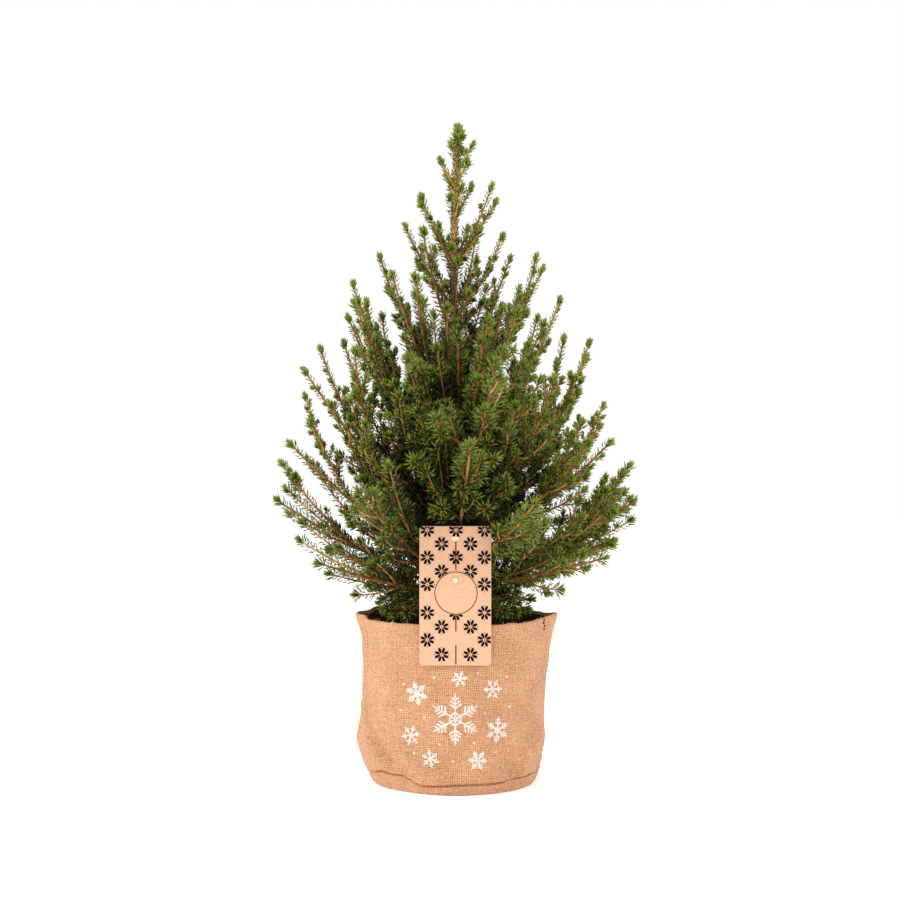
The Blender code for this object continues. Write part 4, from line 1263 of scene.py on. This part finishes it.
def makeLabel():
    # two outer, two inner and one middle column of stars; what reaches into the ring is pushed out of it
    rule = labelRule
    columns = ("outer", "inner", "centre")
    centres = np.array([(x, z) for name in columns for x in rule[name] for z in rule[name + "Heights"]])
    petals = starPetals(centres, np.radians(22.5 + 45 * np.arange(8)))
    middle = np.array((rule["centre"][0], rule["ringCentre"]))
    away = petals - middle
    far = np.linalg.norm(away, axis=-1, keepdims=True)
    least = rule["ringRadius"] + rule["ringGap"]
    petals = middle + away * np.maximum(far, least) / far
    clear = (far[..., 0] > least).sum(1) > 5
    inks = (("black", "#0E0B0B"), ("brown", "#4A2E1C"), ("tan", "#A8784E"))
    black, brown, tan = (newMaterial(f"{name}_offset_ink", colour, 0.6, 0.05)[0] for name, colour in inks)
    makeInk("labelStars", petals[clear], black)
    far = circle(np.radians(np.arange(4) * 90)) * rule["starRadius"] * 0.97
    dots = np.concatenate((centres[:, None] + far, centres[:, None]), axis=1).reshape(-1, 2)
    inside = np.linalg.norm(dots - middle, axis=1) > least + rule["dot"]
    rounds = circle(np.linspace(0, 2 * np.pi, 9)[:8]) * rule["dot"]
    makeInk("labelDots", dots[inside][:, None] + rounds, brown)
    low, high = np.array(rule["lines"]).T
    edge = np.array((-1, 1, 1, -1)) * rule["lineWidth"] / 2
    z = spot(low, low, high, high)
    for name, aside, ink in (("labelLines", -0.5, brown), ("labelPaleLines", 0.55, tan)):
        makeInk(name, spot(rule["centre"][0] + edge + aside * rule["lineWidth"], z), ink)
    makeRing("labelRing", brown)


# Kraft card: pressed brown fibres, matt, with faint streaks and specks.
kraftLook = {"colours": ("#CFA180", "#D3A688", "#D7AC8E"), "patch": 0.0025, "grain": 0.0006}
kraftLook.update(roughness=0.8, specular=0.25, bump=0.12, relief=0.0001)
# Cream plastic: smooth moulded, a soft gloss.
creamLook = {"colours": ("#D8BC9C", "#DEC4A6", "#E4CCB0"), "patch": 0.004, "grain": 0.0010}
creamLook.update(roughness=0.4, specular=0.5, bump=0.05, relief=0.0001)
for nodeName, look in (("label_card", kraftLook), ("label_stake", creamLook)):
    for slot in nodes[nodeName].material_slots:
        slot.material = mottledMaterial(f"{nodeName}_finish", look)
makeLabel()
print("label made")


# Soil: dark damp peat with crumbs

soilRule = {
    "rings": 70, "columns": 260,
    "level": 0.1500, "foot": 0.1440, "lumps": 0.0045,
    "crumbs": 900, "crumbSize": (0.0007, 0.0026), "crumbReach": 0.082,
}
# Peat: black-brown, matt and damp, with paler root threads.
soilLook = {"colours": ("#130B07", "#24160D", "#3A2618"), "patch": 0.004, "grain": 0.0012}
soilLook.update(roughness=0.95, specular=0.2, bump=1.0, relief=0.0010)


def soilHeight(points):
    # two sizes of lumps, lower at the sack's wall
    flat = points * (1, 1, 0)
    lumps = valueNoise(flat, 0.014, 71) - 0.5 + 0.6 * (valueNoise(flat, 0.005, 72) - 0.5)
    return soilRule["level"] + soilRule["lumps"] * lumps


def makeSoil():
    # a lumpy disc inside the sack, from its skin to the middle, and crumbs scattered evenly on it
    rings, columns, level = (soilRule[key] for key in ("rings", "columns", "level"))
    bearing = (2 * np.pi * np.arange(columns) / columns)[None]
    share = np.linspace(0.004, 1, rings)[:, None]
    edge = sackSkin(bearing, np.full(bearing.shape, level), 2 * sack["hem"] + 0.0006)
    top = edge * share[..., None]
    top[..., 2] = soilHeight(top)
    foot = edge.copy()
    foot[..., 2] = soilRule["foot"]
    points = np.concatenate((foot, top[::-1]))
    faces = [gridFaces(rings + 1, columns, True), endCaps(rings + 1, columns)]
    material = mottledMaterial("damp_peat", soilLook)
    piece = makePiece("peatSurface", points, faces, material)
    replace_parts(piece, "soil")
    number = np.arange(soilRule["crumbs"])
    reach = soilRule["crumbReach"] * np.sqrt(chance(number, 73))
    middle = circle(2 * np.pi * chance(number, 74), 0) * reach[:, None]
    size = between(*soilRule["crumbSize"], chance(number, 75) ** 2)
    middle[:, 2] = soilHeight(middle) + size * 0.5
    turn = np.arange(5) / 5 * 2 * np.pi
    low, high = circle(turn, -0.25), circle(turn + 0.6, 0.35) * (0.8, 0.8, 1)
    shape = np.concatenate(([(0, 0, -0.8)], low, high, [(0, 0, 0.8)]))
    jitter = between(0.7, 1.3, chance(number[:, None], np.arange(12), 76))
    points = middle[:, None] + shape * (size[:, None] * jitter)[..., None]
    side = np.arange(5)
    after = (side + 1) % 5
    faces = np.concatenate((
        spot(0, 1 + after, 1 + side), spot(1 + side, 1 + after, 6 + side),
        spot(1 + after, 6 + after, 6 + side), spot(6 + side, 6 + after, 11),
    ))
    makePiece("peatCrumbs", points, [repeatFaces(faces, len(number), 12)], material)


makeSoil()
print("soil made")


# Stage, light and camera

view = {
    "lens": 62.0,
    "sensor": 36.0,
    "place": (-0.005, -1.550, 0.328),
    "aim": (0.0, 0.0, 0.3),
    # place, size, power and colour of each lamp
    "lamps": {
        "key": ((-2.0, -0.9, 1.3), 0.8, 30.0, "#FFFAF2"),
        "top": ((-0.2, -0.3, 2.2), 1.0, 10.0, "#FFFFFF"),
        "fill": ((2.0, -0.9, 1.2), 0.9, 16.0, "#FFF0DC"),
    },
    # half the floor's side, how far it lies under the sack, and its glow
    "floor": (6.0, 0.0005, 0.25),
}


def makeStage():
    # a flat white floor with a faint glow, which keeps the shadow round the pot faint
    size, under, glow = view["floor"]
    material, _, shader = newMaterial("white_paper", "#FEFEFE", 0.9, 0.2)
    shader.inputs["Emission Color"].default_value = hexColour("#FFFFFF")
    shader.inputs["Emission Strength"].default_value = glow
    mesh = bpy.data.meshes.new("floor")
    corners = [(x * size, y * size, -under) for x, y in ((-1, -1), (1, -1), (1, 1), (-1, 1))]
    mesh.from_pydata(corners, [], [(0, 1, 2, 3)])
    mesh.materials.append(material)
    addObject("floor", mesh)


def makeLights():
    # an even white world and three square lamps, each turned so that its -Z points at the aim
    world = bpy.data.worlds.new("studio")
    world.use_nodes = True
    back = world.node_tree.nodes["Background"]
    back.inputs["Color"].default_value = (1.0, 1.0, 1.0, 1.0)
    back.inputs["Strength"].default_value = 1.0
    bpy.context.scene.world = world
    for name, (place, size, power, colour) in view["lamps"].items():
        light = bpy.data.lights.new(name, "AREA")
        light.color = hexColour(colour)[:3]
        light.size = size
        light.energy = power
        lamp = addObject(name, light)
        lamp.location = place
        aim = np.array(view["aim"]) - place
        lamp.rotation_euler = (math.atan2(math.hypot(*aim[:2]), -aim[2]), 0.0, math.atan2(-aim[0], aim[1]))


def makeCamera():
    # level, looking along +Y
    camera = bpy.data.cameras.new("camera")
    camera.lens = view["lens"]
    camera.sensor_width = view["sensor"]
    holder = addObject("camera", camera)
    holder.location = view["place"]
    holder.rotation_euler = (math.radians(90), 0.0, 0.0)
    bpy.context.scene.camera = holder


makeStage()
makeLights()
makeCamera()
bpy.context.scene.view_settings.view_transform = "Standard"
print("stage, lights and camera set")
